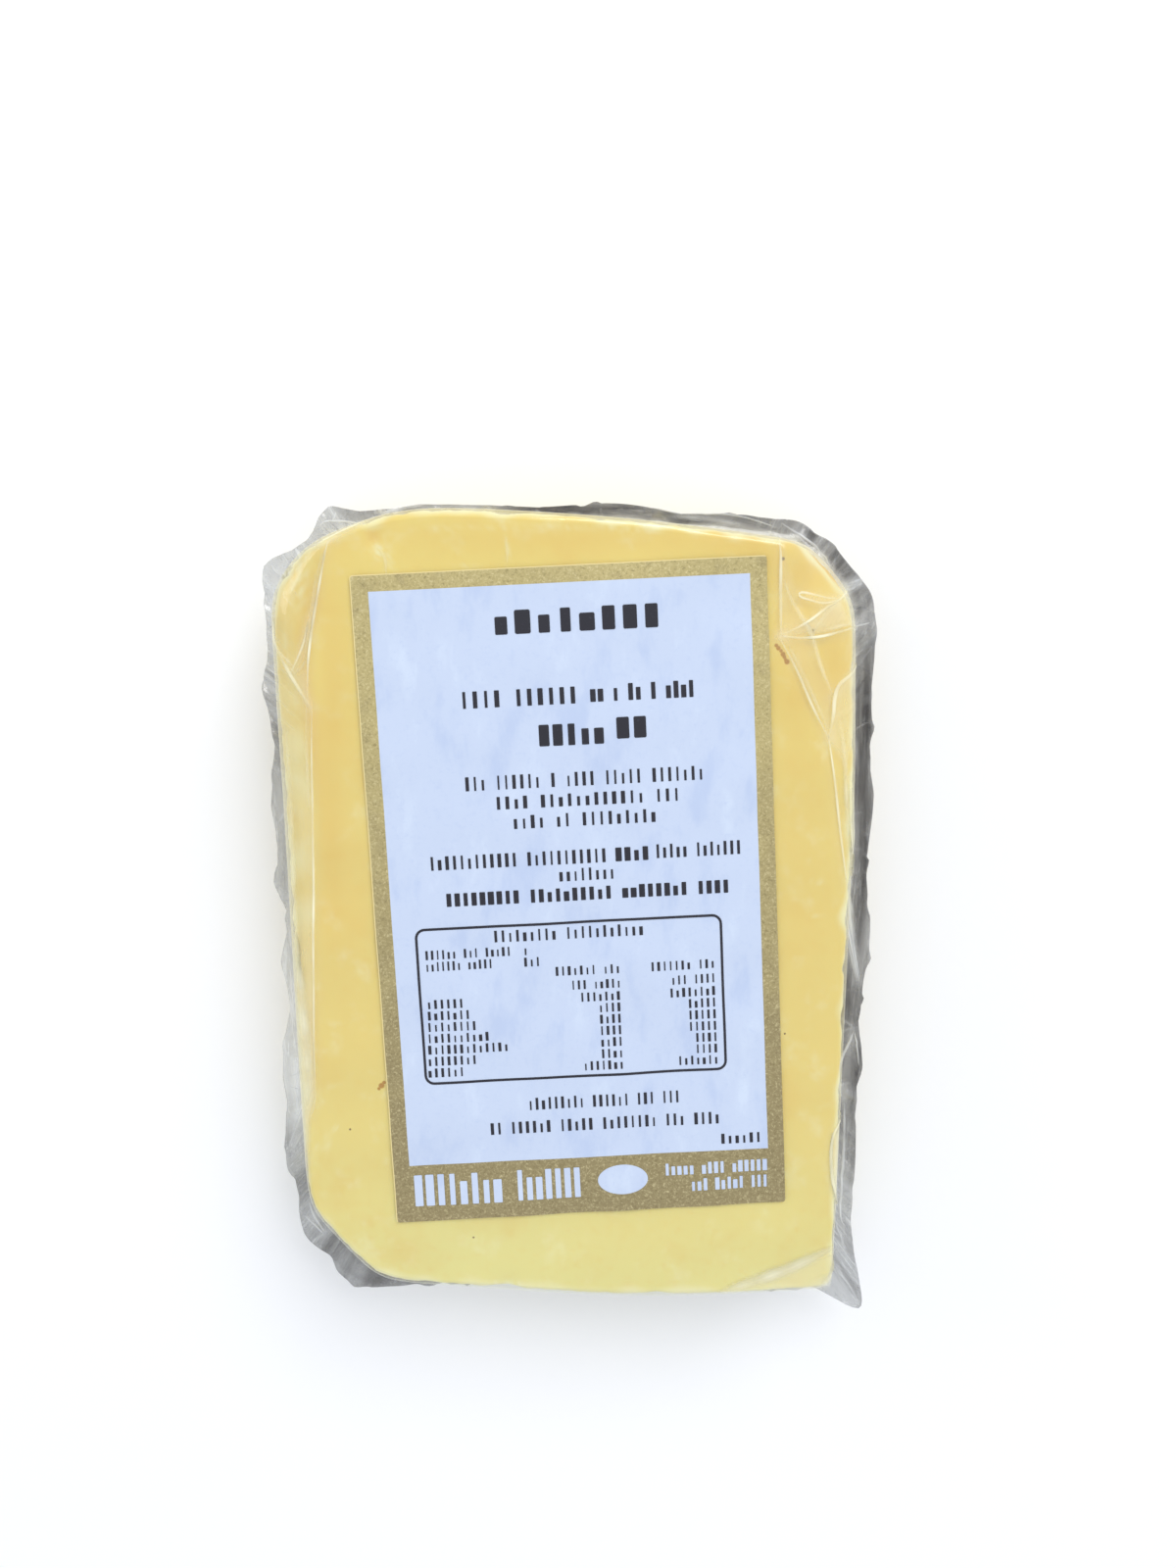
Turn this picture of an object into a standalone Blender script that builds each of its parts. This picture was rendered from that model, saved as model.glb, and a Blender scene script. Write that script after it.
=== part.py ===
"""A vacuum-packed slab of hard cheese, lying flat with its paper label up.

Metres, +Z up. The underside rests on z = 0, and the middle of the pack's box is over the origin.
Seen from above, +Y runs along the slab's length and +X across it.
"""

import math

import bmesh
import bpy
import numpy as np

# The slab, seen from above: straight knife cuts, each by its direction in degrees and its
# distance from the slab's middle.
SLAB_CUTS = {
    "right side": (-1.0, 0.0431),
    "upper right corner": (38.0, 0.0641),
    "upper end": (81.0, 0.0615),
    "upper end, left part": (88.0, 0.0609),
    "upper left shoulder": (111.0, 0.0664),
    "upper left corner": (145.0, 0.0644),
    "left side": (182.0, 0.0424),
    "lower left corner": (221.0, 0.0611),
    "lower end, left part": (265.0, 0.0609),
    "lower end": (274.0, 0.0631),
}
SLAB_CORNER_POWER = 50
SLAB_THICKNESS = 0.0242
FILM = 0.0001

# The rim of the upper face slopes down to the side walls. It is narrow on most of the slab and
# wide along the left side and on the upper right corner.
RIM = 0.0012
LEFT_RIM = 0.0046
LEFT_RIM_DIRECTIONS = (120.0, 131.0, 150.0, 232.0)
CORNER_RIM = 0.0108
CORNER_RIM_DIRECTIONS = (10.0, 50.0, 54.0, 61.0)
RIM_SLOPE = 0.4
RIM_ROUNDNESS = 1.6
LOWER_RIM = 0.0015

# The bag's two sheets meet in a seam that stands out round the side walls as a thin skirt, with
# an ear at its lower right corner.
SKIRT_CUTS = {
    "right side": (0.0, 0.0480),
    "upper right corner": (45.0, 0.0684),
    "upper end, right part": (85.5, 0.0631),
    "upper end, left part": (94.0, 0.0640),
    "upper left corner": (137.0, 0.0700),
    "left side": (181.0, 0.0468),
    "lower left corner": (214.0, 0.0680),
    "lower end": (268.0, 0.0664),
}
SKIRT_CORNER_POWER = 70
SKIRT_THICKNESS = 0.0008
SKIRT_HEIGHT = 0.0120
SKIRT_LEAST_WIDTH = 0.0018
SKIRT_EDGE_WAVES = ((9, 0.0004, 1.0), (17, 0.0003, 2.3))
SKIRT_HEIGHT_WAVES = ((2, 0.0009, 0.5), (5, 0.0005, 2.0))
EAR_REACH = 0.0052
EAR_DIRECTION = 304.6
EAR_SPREAD = 3.2
TENT_RADIUS = 0.0025

LABEL_WIDTH = 0.061
LABEL_LENGTH = 0.100
LABEL_THICKNESS = 0.00025
LABEL_CORNER = 0.001
LABEL_TURN = 2.8
LABEL_PLACE = (0.0012, 0.0032)
LABEL_GAP = 0.0003

AROUND = 192
RIM_RINGS = 5
TENT_RINGS = 4
CORNER_STEPS = 4


def smooth_step(angle, start, end):
    """Rises smoothly from 0 at start to 1 at end: t * t * (3 - 2 * t)."""
    t = np.clip((angle - start) / (end - start), 0.0, 1.0)
    return t * t * (3.0 - 2.0 * t)


def cut_outline(angle, cuts, power):
    """Distance from the middle to an outline of straight cuts with slightly rounded corners.

    A ray at angle t meets the cut in direction a at distance d / cos(t - a). The power mean
    r = (sum (max(cos(t - a), 0) / d) ** p) ** (-1 / p) follows the nearest cut and rounds the
    corners, the less the higher the power p.
    """
    total = np.zeros_like(angle)
    for direction, distance in cuts.values():
        facing = np.cos(angle - math.radians(direction))
        total += (np.clip(facing, 0.0, None) / distance) ** power
    return total ** (-1.0 / power)


def waves(angle, terms):
    """Sum of sine waves round the pack, each with its count, height and phase."""
    return sum(height * np.sin(count * angle + phase) for count, height, phase in terms)


def even_angles(count):
    """Directions whose rays meet the slab's outline at even steps along it."""
    fine = np.linspace(0.0, 2.0 * math.pi, 3601)
    radius = cut_outline(fine, SLAB_CUTS, SLAB_CORNER_POWER)
    steps = np.hypot(np.diff(radius * np.cos(fine)), np.diff(radius * np.sin(fine)))
    travelled = np.concatenate(([0.0], np.cumsum(steps)))
    wanted = np.linspace(0.0, travelled[-1], count, endpoint=False)
    return np.interp(wanted, travelled, fine)


def rim_width(angle):
    """Width of the sloping rim of the upper face in each direction."""
    degrees = np.degrees(angle)
    rise, full, fade, end = LEFT_RIM_DIRECTIONS
    left = smooth_step(degrees, rise, full) * (1.0 - smooth_step(degrees, fade, end))
    rise, full, fade, end = CORNER_RIM_DIRECTIONS
    corner = smooth_step(degrees, rise, full) ** 2 * (1.0 - smooth_step(degrees, fade, end))
    return RIM + LEFT_RIM * left + CORNER_RIM * corner


def rounded_rim(wall, width, height, top):
    """Rings from the flat face over its rim to the wall.

    They lie on the quarter curve (x / width) ** n + (y / height) ** n = 1, between a flat slope
    (n = 1) and a round edge (n = 2).
    """
    rings = []
    for step in range(RIM_RINGS + 1):
        turn = 0.5 * math.pi * step / RIM_RINGS
        out = width * math.sin(turn) ** (2.0 / RIM_ROUNDNESS)
        up = height * math.cos(turn) ** (2.0 / RIM_ROUNDNESS)
        rings.append((wall - width + out, top - height + up))
    return rings


def tent(wall, seam, radius, side):
    """Rings where one sheet of the bag leaves the wall and curves out to the seam.

    The quarter circle starts on the wall, radius away from the seam's face, and ends level with
    it; side is 1 above the seam and -1 below it.
    """
    rings = []
    for step in range(TENT_RINGS + 1):
        turn = 0.5 * math.pi * step / TENT_RINGS
        out = radius * (1.0 - math.cos(turn))
        away = radius * (1.0 - math.sin(turn))
        rings.append((wall + out, seam + side * (0.5 * SKIRT_THICKNESS + away)))
    return rings


def bag_rings(angle):
    """Rings of the packed slab from its upper face down the outside to its underside."""
    wall = cut_outline(angle, SLAB_CUTS, SLAB_CORNER_POWER) + FILM
    tip = cut_outline(angle, SKIRT_CUTS, SKIRT_CORNER_POWER) + waves(angle, SKIRT_EDGE_WAVES)
    tip += EAR_REACH * np.exp(-((np.degrees(angle) - EAR_DIRECTION) / EAR_SPREAD) ** 2)
    tip = np.maximum(tip, wall + SKIRT_LEAST_WIDTH)
    seam = SKIRT_HEIGHT + waves(angle, SKIRT_HEIGHT_WAVES)
    radius = np.minimum(TENT_RADIUS, 0.5 * (tip - wall))
    width = rim_width(angle)
    height = RIM + RIM_SLOPE * (width - RIM)
    half = 0.5 * SKIRT_THICKNESS
    rings = rounded_rim(wall, width, height, SLAB_THICKNESS)
    rings += tent(wall, seam, radius, 1.0)
    rings += [(tip, seam + half), (tip, seam - half)]
    rings += reversed(tent(wall, seam, radius, -1.0))
    underside = rounded_rim(wall, LOWER_RIM, LOWER_RIM, LOWER_RIM)
    rings += [(ring, LOWER_RIM - z) for ring, z in reversed(underside)]
    return rings


def closed_from_rings(name, angle, rings):
    """One closed mesh: the rings joined by bands, and a flat face over the first and the last."""
    mesh = bpy.data.meshes.new(name)
    solid = bmesh.new()
    loops = []
    for radius, z in rings:
        heights = np.broadcast_to(z, angle.shape)
        points = zip(radius * np.cos(angle), radius * np.sin(angle), heights)
        loops.append([solid.verts.new(point) for point in points])
    count = len(angle)
    for upper, lower in zip(loops, loops[1:]):
        for i in range(count):
            j = (i + 1) % count
            solid.faces.new((upper[i], lower[i], lower[j], upper[j]))
    solid.faces.new(loops[0])
    solid.faces.new(reversed(loops[-1]))
    bmesh.ops.triangulate(solid, faces=solid.faces[:])
    bmesh.ops.recalc_face_normals(solid, faces=solid.faces[:])
    solid.to_mesh(mesh)
    solid.free()
    return mesh


def label_mesh(name):
    """A thin rectangle of paper with rounded corners, its middle at the mesh's origin."""
    mesh = bpy.data.meshes.new(name)
    solid = bmesh.new()
    outline = []
    quarters = ((1, 1, 0), (-1, 1, 90), (-1, -1, 180), (1, -1, 270))
    for side_x, side_y, start in quarters:
        centre_x = side_x * (0.5 * LABEL_WIDTH - LABEL_CORNER)
        centre_y = side_y * (0.5 * LABEL_LENGTH - LABEL_CORNER)
        for step in range(CORNER_STEPS + 1):
            turn = math.radians(start + 90.0 * step / CORNER_STEPS)
            x = centre_x + LABEL_CORNER * math.cos(turn)
            y = centre_y + LABEL_CORNER * math.sin(turn)
            outline.append(solid.verts.new((x, y, -0.5 * LABEL_THICKNESS)))
    underside = solid.faces.new(outline)
    raised = bmesh.ops.extrude_face_region(solid, geom=[underside])
    moved = [item for item in raised["geom"] if isinstance(item, bmesh.types.BMVert)]
    bmesh.ops.translate(solid, verts=moved, vec=(0.0, 0.0, LABEL_THICKNESS))
    bmesh.ops.recalc_face_normals(solid, faces=solid.faces[:])
    solid.to_mesh(mesh)
    solid.free()
    return mesh


def linear_colour(code):
    """Linear red, green, blue and alpha of an sRGB colour code such as EAD288."""
    channels = [int(code[i:i + 2], 16) / 255.0 for i in (0, 2, 4)]
    linear = [c / 12.92 if c <= 0.04045 else ((c + 0.055) / 1.055) ** 2.4 for c in channels]
    return (*linear, 1.0)


def material(name, code, roughness):
    """A plain non-metal finish of one colour."""
    finish = bpy.data.materials.new(name)
    finish.use_nodes = True
    shader = finish.node_tree.nodes["Principled BSDF"]
    shader.inputs["Base Color"].default_value = linear_colour(code)
    shader.inputs["Roughness"].default_value = roughness
    shader.inputs["Metallic"].default_value = 0.0
    return finish


def add_part(mesh, finish, place, turn, parent):
    """An object that shows a mesh at a place, turned about +Z by some degrees."""
    part = bpy.data.objects.new(mesh.name, mesh)
    mesh.materials.append(finish)
    part.location = place
    part.rotation_euler = (0.0, 0.0, math.radians(turn))
    part.parent = parent
    bpy.context.scene.collection.objects.link(part)
    return part


def box_middle(angle, rings):
    """Middle, seen from above, of the box round all the rings."""
    widest = np.max([ring for ring, _ in rings], axis=0)
    x = widest * np.cos(angle)
    y = widest * np.sin(angle)
    return 0.5 * (x.min() + x.max()), 0.5 * (y.min() + y.max())


def build():
    """Makes the packed slab and its label under one empty."""
    for old in list(bpy.data.objects):
        bpy.data.objects.remove(old, do_unlink=True)
    pack = bpy.data.objects.new("cheese_pack", None)
    bpy.context.scene.collection.objects.link(pack)

    angle = even_angles(AROUND)
    rings = bag_rings(angle)
    middle_x, middle_y = box_middle(angle, rings)
    bag = closed_from_rings("sealed_bag", angle, rings)
    bag.shade_smooth()
    bag.set_sharp_from_angle(angle=math.radians(50.0))
    add_part(bag, material("cheese_in_clear_film", "EAD288", 0.25), (-middle_x, -middle_y, 0.0), 0.0, pack)

    label_z = SLAB_THICKNESS + LABEL_GAP + 0.5 * LABEL_THICKNESS
    label_at = (LABEL_PLACE[0] - middle_x, LABEL_PLACE[1] - middle_y, label_z)
    add_part(label_mesh("label"), material("label_paper", "D3E1F8", 0.55), label_at, LABEL_TURN, pack)


build()
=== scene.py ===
# %% [markdown]
# # A vacuum-packed slab of hard cheese
#
# The pack is a knife-cut slab of pale yellow hard cheese. A clear plastic bag is drawn tight over
# it, and the bag's two sheets meet half way up the sides in a thin skirt. A paper label with a
# dull gold border is stuck on the upper face. This lesson builds each of these as a surface that
# is worked out with numpy, and gives each one a finish made of shader nodes.
#
# The first cell loads the solid model that everything else is fitted to. Its two solids give the
# place of the label and the height of the upper face, so no size has to be repeated by eye.

# %% Load the frame
import math

import bpy
import numpy as np
from mathutils import Matrix, Vector


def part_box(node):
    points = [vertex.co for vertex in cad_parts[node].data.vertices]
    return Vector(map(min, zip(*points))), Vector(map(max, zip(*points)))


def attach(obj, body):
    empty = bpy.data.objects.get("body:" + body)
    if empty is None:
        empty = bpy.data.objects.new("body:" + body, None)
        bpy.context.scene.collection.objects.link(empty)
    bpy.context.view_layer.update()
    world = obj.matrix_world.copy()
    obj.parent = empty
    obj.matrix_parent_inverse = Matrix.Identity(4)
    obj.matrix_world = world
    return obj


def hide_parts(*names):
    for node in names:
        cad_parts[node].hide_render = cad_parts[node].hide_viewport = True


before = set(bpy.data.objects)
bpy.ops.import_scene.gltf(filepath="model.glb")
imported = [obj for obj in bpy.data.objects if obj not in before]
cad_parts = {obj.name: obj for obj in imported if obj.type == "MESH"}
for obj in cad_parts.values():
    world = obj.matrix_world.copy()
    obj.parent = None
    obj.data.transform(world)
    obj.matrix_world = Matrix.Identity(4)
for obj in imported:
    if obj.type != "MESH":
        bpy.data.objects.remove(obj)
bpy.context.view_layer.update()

MM = 0.001

bag_low, bag_high = (np.array(corner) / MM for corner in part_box("sealed_bag"))
label_low, label_high = (np.array(corner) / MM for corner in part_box("label"))
label_middle = 0.5 * (label_low + label_high)
print("bag from", bag_low.round(1), "to", bag_high.round(1), "mm; label's middle", label_middle.round(2))

# %% [markdown]
# ## The slab seen from above
#
# A cheesemonger squares the piece with straight knife cuts, so its outline is a polygon with
# corners that are only slightly rounded. It could be drawn as a list of points, but naming each
# cut by its direction and its distance from the middle says more in fewer numbers. A power mean
# of the cuts then gives the distance to the outline in any direction, rounded corners included.

# %% Outline of straight cuts
SLAB_CUTS = {
    "right side": (-1, 43.1),
    "upper right corner": (38, 64.1),
    "upper end": (81, 61.5),
    "upper end, left part": (88, 60.9),
    "upper left shoulder": (111, 66.4),
    "upper left corner": (145, 64.4),
    "left side": (182, 42.4),
    "lower left corner": (221, 61.1),
    "lower end, left part": (265, 60.9),
    "lower end": (274, 63.1),
}
SLAB_CORNER_POWER = 50
SLAB_TOP = bag_high[2]
LABEL_FROM_SLAB = np.array([1.2, 3.2])
SLAB_MIDDLE = label_middle[:2] - LABEL_FROM_SLAB
FILM = 0.1


def cut_outline(angle, cuts, power):
    """Distance in mm from the slab's middle to an outline of straight cuts.

    A ray at angle t meets the cut in direction a at distance d / cos(t - a). The power mean
    r = (sum (max(cos(t - a), 0) / d) ** p) ** (-1 / p) follows the nearest cut and rounds the
    corners, the less the higher the power p.
    """
    total = np.zeros_like(angle, dtype=float)
    for direction, distance in cuts.values():
        facing = np.cos(angle - math.radians(direction))
        total += (np.clip(facing, 0.0, None) / distance) ** power
    return total ** (-1.0 / power)


def even_angles(count):
    """Directions whose rays meet the slab's outline at even steps along it."""
    fine = np.linspace(0.0, 2.0 * math.pi, 7201)
    radius = cut_outline(fine, SLAB_CUTS, SLAB_CORNER_POWER)
    steps = np.hypot(np.diff(radius * np.cos(fine)), np.diff(radius * np.sin(fine)))
    travelled = np.concatenate(([0.0], np.cumsum(steps)))
    wanted = np.linspace(0.0, travelled[-1], count, endpoint=False)
    return np.interp(wanted, travelled, fine)


outline = cut_outline(np.radians([0.0, 90.0, 180.0, 270.0]), SLAB_CUTS, SLAB_CORNER_POWER)
print("slab reaches", outline.round(1), "mm from its middle to the right, top, left and bottom")

# %% [markdown]
# ## Soft unevenness
#
# Nothing on a piece of food or a sheet of film is flat. A fixed set of sine waves in random
# directions makes a gentle unevenness that is the same in every run, has a known wavelength and
# can be asked for anywhere on the surface. A noise texture would do for colour, but a shape that
# several pieces share has to come from one function.

# %% Waves of one size
def smooth_step(value, start, end):
    """Rises smoothly from 0 at start to 1 at end: t * t * (3 - 2 * t)."""
    t = np.clip((value - start) / (end - start), 0.0, 1.0)
    return t * t * (3.0 - 2.0 * t)


def quarter_turn(travelled, power=1.0):
    """(sin(t) ** power, cos(t) ** power) with t from 0 to 90 degrees as travelled goes from 0 to 1."""
    turn = 0.5 * math.pi * np.clip(travelled, 0.0, 1.0)
    return np.sin(turn) ** power, np.cos(turn) ** power


def between(value, start, full, fade, end):
    """Rises smoothly from 0 at start to 1 at full, and falls back to 0 between fade and end."""
    return smooth_step(value, start, full) * (1.0 - smooth_step(value, fade, end))


def turn_from(middle, angle, whole=2.0 * math.pi):
    """The shorter way round from middle to angle, as a turn between -whole / 2 and whole / 2."""
    return (angle - middle + 0.5 * whole) % whole - 0.5 * whole


def ripple(x, y, wavelength, seed, count=9):
    """Unevenness of about +-1: the sum of plane sine waves in random directions.

    Each wave is sin(k . (x, y) + phase), with a wavelength within 30% of the one asked for.
    """
    chance = np.random.default_rng(seed)
    total = np.zeros(np.broadcast(x, y).shape)
    for _ in range(count):
        turn, phase = chance.uniform(0.0, 2.0 * math.pi, 2)
        k = 2.0 * math.pi / (wavelength * chance.uniform(0.7, 1.3))
        total += np.sin(k * (x * math.cos(turn) + y * math.sin(turn)) + phase)
    return total / math.sqrt(0.5 * count)


sample = ripple(*np.meshgrid(np.arange(40.0), np.arange(40.0)), 12.0, 1)
print("ripple spreads over", sample.std().round(2), "and peaks at", np.abs(sample).max().round(2))

# %% [markdown]
# ## The profile of the pack
#
# Cut the pack anywhere and its profile has the same stretches: flat upper face, sloping rim, side
# wall, the tent where the film leaves the wall, the skirt, and the same again below. A number s
# counts these stretches, so (angle, s) names any point of the film: 0 is the middle of the upper
# face, 1 the rim's inner edge, 2 the top of the wall, 3 the start of the tent, 4 the skirt's
# root, 5 its edge, and 11 the middle of the underside. With such a function the same map serves
# for the film, for the folds that run over it, and for what lies under it.

# %% The rim and the skirt in each direction
# Widths of the rim in mm: everywhere, added down the left side and added at the upper right
# corner, with the directions in degrees where each begins, is full, fades and ends.
RIM = 1.2
LEFT_RIM = 4.6
LEFT_RIM_DIRECTIONS = (120.0, 131.0, 150.0, 232.0)
CORNER_RIM = 10.8
CORNER_RIM_DIRECTIONS = (10.0, 50.0, 54.0, 61.0)
RIM_SLOPE = 0.4
RIM_ROUNDNESS = 1.6
LOWER_RIM = 1.5
SKIRT_CUTS = {
    "right side": (0, 48),
    "upper right corner": (45, 68.4),
    "upper end, right part": (85.5, 63.1),
    "upper end, left part": (94, 64),
    "upper left corner": (137, 70),
    "left side": (181, 46.8),
    "lower left corner": (214, 68),
    "lower end": (268, 66.4),
}
SKIRT_CORNER_POWER = 70
# Height of the seam and half the skirt's thickness in mm, and its waves: count, mm and phase.
SKIRT_HEIGHT = 12.0
SKIRT_HALF = 0.16
SKIRT_LEAST_WIDTH = 1.8
SKIRT_EDGE_WAVES = ((9, 0.4, 1.0), (17, 0.3, 2.3))
SKIRT_HEIGHT_WAVES = ((2, 0.9, 0.5), (5, 0.5, 2.0))
EAR_REACH = 5.2
EAR_DIRECTION = 304.6
EAR_SPREAD = 3.2
TENT_RADIUS = 2.5
# Direction in degrees, reach in mm and half width in degrees of each point or notch of the edge.
SKIRT_POINTS = (
    (20, 1.2, 14), (30, 0.9, 6), (54, 1.4, 10), (68, 1.2, 6), (110, 1.1, 9),
    (120.5, 1.4, 3), (125, -1.7, 5), (131.5, 1.4, 4), (144, 1.4, 3.5), (151, -0.8, 4),
    (167.5, -1.2, 6), (176, 1, 4), (186, -1.2, 7), (201, -1.7, 11), (221, 1.6, 5),
    (228, -1.5, 4), (237, -1.1, 4), (243.5, 1, 5), (302.3, -2.6, 2.6), (330, 1, 5),
    (349, 1.6, 12),
)
SMALL_POINT_COUNT = 44


def small_points():
    """Random small points and notches of the edge, in the form of SKIRT_POINTS."""
    chance = np.random.default_rng(61)
    return tuple(zip(*(chance.uniform(low, high, SMALL_POINT_COUNT)
                       for low, high in ((0.0, 360.0), (-0.5, 0.45), (0.7, 2.2)))))


SMALL_POINTS = small_points()


def pointed(degrees, points):
    """Sum of tent shaped points: reach * max(0, 1 - |turn from the direction| / half width)."""
    total = np.zeros_like(degrees)
    for direction, reach, half in points:
        away = np.abs(turn_from(direction, degrees, 360.0))
        total += reach * np.clip(1.0 - away / half, 0.0, None)
    return total


def waves(angle, terms):
    """Sum of sine waves round the pack, each with its count, height in mm and phase."""
    return sum(height * np.sin(count * angle + phase) for count, height, phase in terms)


def rim_width(angle):
    """Width in mm of the sloping rim of the upper face in each direction."""
    degrees = np.degrees(angle) % 360.0
    left = between(degrees, *LEFT_RIM_DIRECTIONS)
    rise, full, fade, end = CORNER_RIM_DIRECTIONS
    corner = smooth_step(degrees, rise, full) ** 2 * (1.0 - smooth_step(degrees, fade, end))
    return RIM + LEFT_RIM * left + CORNER_RIM * corner


def pack_section(angle):
    """The radii and heights in mm that fix the pack's profile in each direction."""
    degrees = np.degrees(angle) % 360.0
    wall = cut_outline(angle, SLAB_CUTS, SLAB_CORNER_POWER) + FILM
    tip = cut_outline(angle, SKIRT_CUTS, SKIRT_CORNER_POWER) + waves(angle, SKIRT_EDGE_WAVES)
    tip = tip + EAR_REACH * np.exp(-((degrees - EAR_DIRECTION) / EAR_SPREAD) ** 2)
    tip = tip + pointed(degrees, SKIRT_POINTS + SMALL_POINTS)
    tip = np.maximum(tip, wall + SKIRT_LEAST_WIDTH)
    width = rim_width(angle)
    return {
        "wall": wall,
        "tip": tip,
        "seam": SKIRT_HEIGHT + waves(angle, SKIRT_HEIGHT_WAVES),
        "tent": np.minimum(TENT_RADIUS, 0.5 * (tip - wall)),
        "rim": width,
        "drop": RIM + RIM_SLOPE * (width - RIM),
    }


around = np.linspace(0.0, 2.0 * math.pi, 721)
section = pack_section(around)
print("skirt stands out", (section["tip"] - section["wall"]).min().round(1), "to",
      (section["tip"] - section["wall"]).max().round(1), "mm; rim is",
      section["rim"].min().round(1), "to", section["rim"].max().round(1), "mm wide")

# %% [markdown]
# ## Gathers of the film
#
# The film of the bag is flat to begin with. Where it has to go round a corner there is too much
# of it, and it gathers into small pleats that run down the wall and out over the skirt. They
# could be simulated as cloth, but vacuum has pressed this film to a known surface, so it is
# enough to place a few dozen bumps round the outline, more and higher ones near the corners.

# %% Pleats round the walls and the skirt
PLEATS = 64
PLEAT_HALF_WIDTH = (0.5, 1.3)
CORNER_DIRECTIONS = np.array([54.0, 122.0, 140.0, 232.0, 305.0])
CORNER_SPREAD = 11.0


def place_pleats(seed):
    """Directions, half widths and heights in mm of the pleats: rows of an array.

    Three out of five crowd round a corner of the slab, and those are the higher ones.
    """
    chance = np.random.default_rng(seed)
    crowded = chance.random(PLEATS) < 0.6
    corner = CORNER_DIRECTIONS[chance.integers(len(CORNER_DIRECTIONS), size=PLEATS)]
    direction = np.where(crowded, chance.normal(corner, CORNER_SPREAD), chance.uniform(0, 360, PLEATS))
    half = chance.uniform(*PLEAT_HALF_WIDTH, PLEATS)
    height = np.where(crowded, chance.uniform(0.25, 0.7, PLEATS), chance.uniform(0.08, 0.3, PLEATS))
    return np.stack([np.radians(direction % 360.0), half, height * chance.choice([-1.0, 1.0], PLEATS)])


def gathered(angle, radius, pleats):
    """Height in mm of the pleats in each direction: the sum of h / (1 + (arc / w) ** 2) ** 2.

    arc is the distance along the outline from a pleat's middle, w its half width, h its height.
    """
    total = np.zeros(np.broadcast(angle, radius).shape)
    for middle, half, height in pleats.T:
        total += height / (1.0 + (turn_from(middle, angle) * radius / half) ** 2) ** 2
    return total


upper_pleats, lower_pleats = place_pleats(11), place_pleats(29)
print("pleats up to", np.abs(upper_pleats[2]).max().round(2), "mm high")

# %% [markdown]
# ## The film's surface
#
# Each stretch of the profile is a short formula in s: a straight line on the face, the wall and
# the skirt, the quarter of a squashed circle on the rim and a quarter circle in the tent. The
# pleats then push the wall out and lift the skirt, both sheets together so that they never
# cross. The upper face gets a slight unevenness, which fades where the label holds it flat.

# %% The point of the film at an angle and a station
LAST_STATION = 11.0
SEAM_STATION = 0.5 * LAST_STATION
FACE_WAVE = 0.07
FACE_WAVELENGTH = 16.0
WALL_PLEAT_SHARE = 0.7
SKIRT_PLEAT_SHARE = 1.3


def face_relief(x, y):
    """Height in mm of the soft unevenness of the upper face, x and y from the slab's middle."""
    return FACE_WAVE * ripple(x, y, FACE_WAVELENGTH, 5)


def mirrored(s):
    """The station above the seam that matches s: s itself, or LAST_STATION - s below the seam."""
    return np.where(s < SEAM_STATION, s, LAST_STATION - s)


def film_point(angle, s):
    """Place in mm of the film at (angle, s), measured from the slab's middle and the table."""
    angle, s = np.broadcast_arrays(np.asarray(angle, float), np.asarray(s, float))
    part = pack_section(angle)
    wall, tip, seam, tent = part["wall"], part["tip"], part["seam"], part["tent"]
    ridge = wall - part["rim"]
    rim_out, rim_up = quarter_turn(s - 1.0, 2.0 / RIM_ROUNDNESS)
    low_out, low_up = quarter_turn(10.0 - s, 2.0 / RIM_ROUNDNESS)
    down, across = quarter_turn(mirrored(s) - 3.0)
    tent_out, tent_away = tent * (1.0 - across), SKIRT_HALF + tent * (1.0 - down)
    out = np.clip(mirrored(s) - 4.0, 0.0, 1.0)
    skirt = wall + tent + (tip - wall - tent) * out
    wall_top = SLAB_TOP - part["drop"]
    stretches = [s < 1, s < 2, s < 3, s < 4, s < 5, s < 6, s < 7, s < 8, s < 9, s < 10, s >= 10]
    radius = np.select(stretches, [
        ridge * s, ridge + part["rim"] * rim_out, wall, wall + tent_out, skirt, tip,
        skirt, wall + tent_out, wall, wall - LOWER_RIM + LOWER_RIM * low_out,
        (wall - LOWER_RIM) * np.clip(11.0 - s, 0.0, 1.0)])
    height = np.select(stretches, [
        SLAB_TOP + 0.0 * s, wall_top + part["drop"] * rim_up,
        wall_top + (seam + SKIRT_HALF + tent - wall_top) * (s - 2.0), seam + tent_away,
        seam + SKIRT_HALF, seam + SKIRT_HALF * (11.0 - 2.0 * s), seam - SKIRT_HALF,
        seam - tent_away, LOWER_RIM + (seam - SKIRT_HALF - tent - LOWER_RIM) * (9.0 - s),
        LOWER_RIM * (1.0 - low_up), 0.0 * s])
    skirt_pleats = gathered(angle, wall, upper_pleats)
    pleats = np.where(s < SEAM_STATION, skirt_pleats, gathered(angle, wall, lower_pleats))
    on_wall = between(mirrored(s), 1.7, 3.0, 3.6, 4.3)
    on_skirt = smooth_step(mirrored(s), 3.5, 5.0)
    radius = radius + WALL_PLEAT_SHARE * on_wall * np.abs(pleats)
    height = height + SKIRT_PLEAT_SHARE * on_skirt * skirt_pleats
    x, y = radius * np.cos(angle), radius * np.sin(angle)
    height = height + face_relief(x, y) * (1.0 - smooth_step(s, 0.9, 1.6))
    return np.stack([x + SLAB_MIDDLE[0], y + SLAB_MIDDLE[1], height], axis=-1)


def places_on(loops):
    """Rows of x and of y in mm from the slab's middle."""
    return (loops[..., :2] - SLAB_MIDDLE).transpose(2, 0, 1)


low = film_point(around[:, None], np.linspace(0.0, 11.0, 111)[None, :])
print("film from", low.min((0, 1)).round(1), "to", low.max((0, 1)).round(1), "mm")

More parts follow.
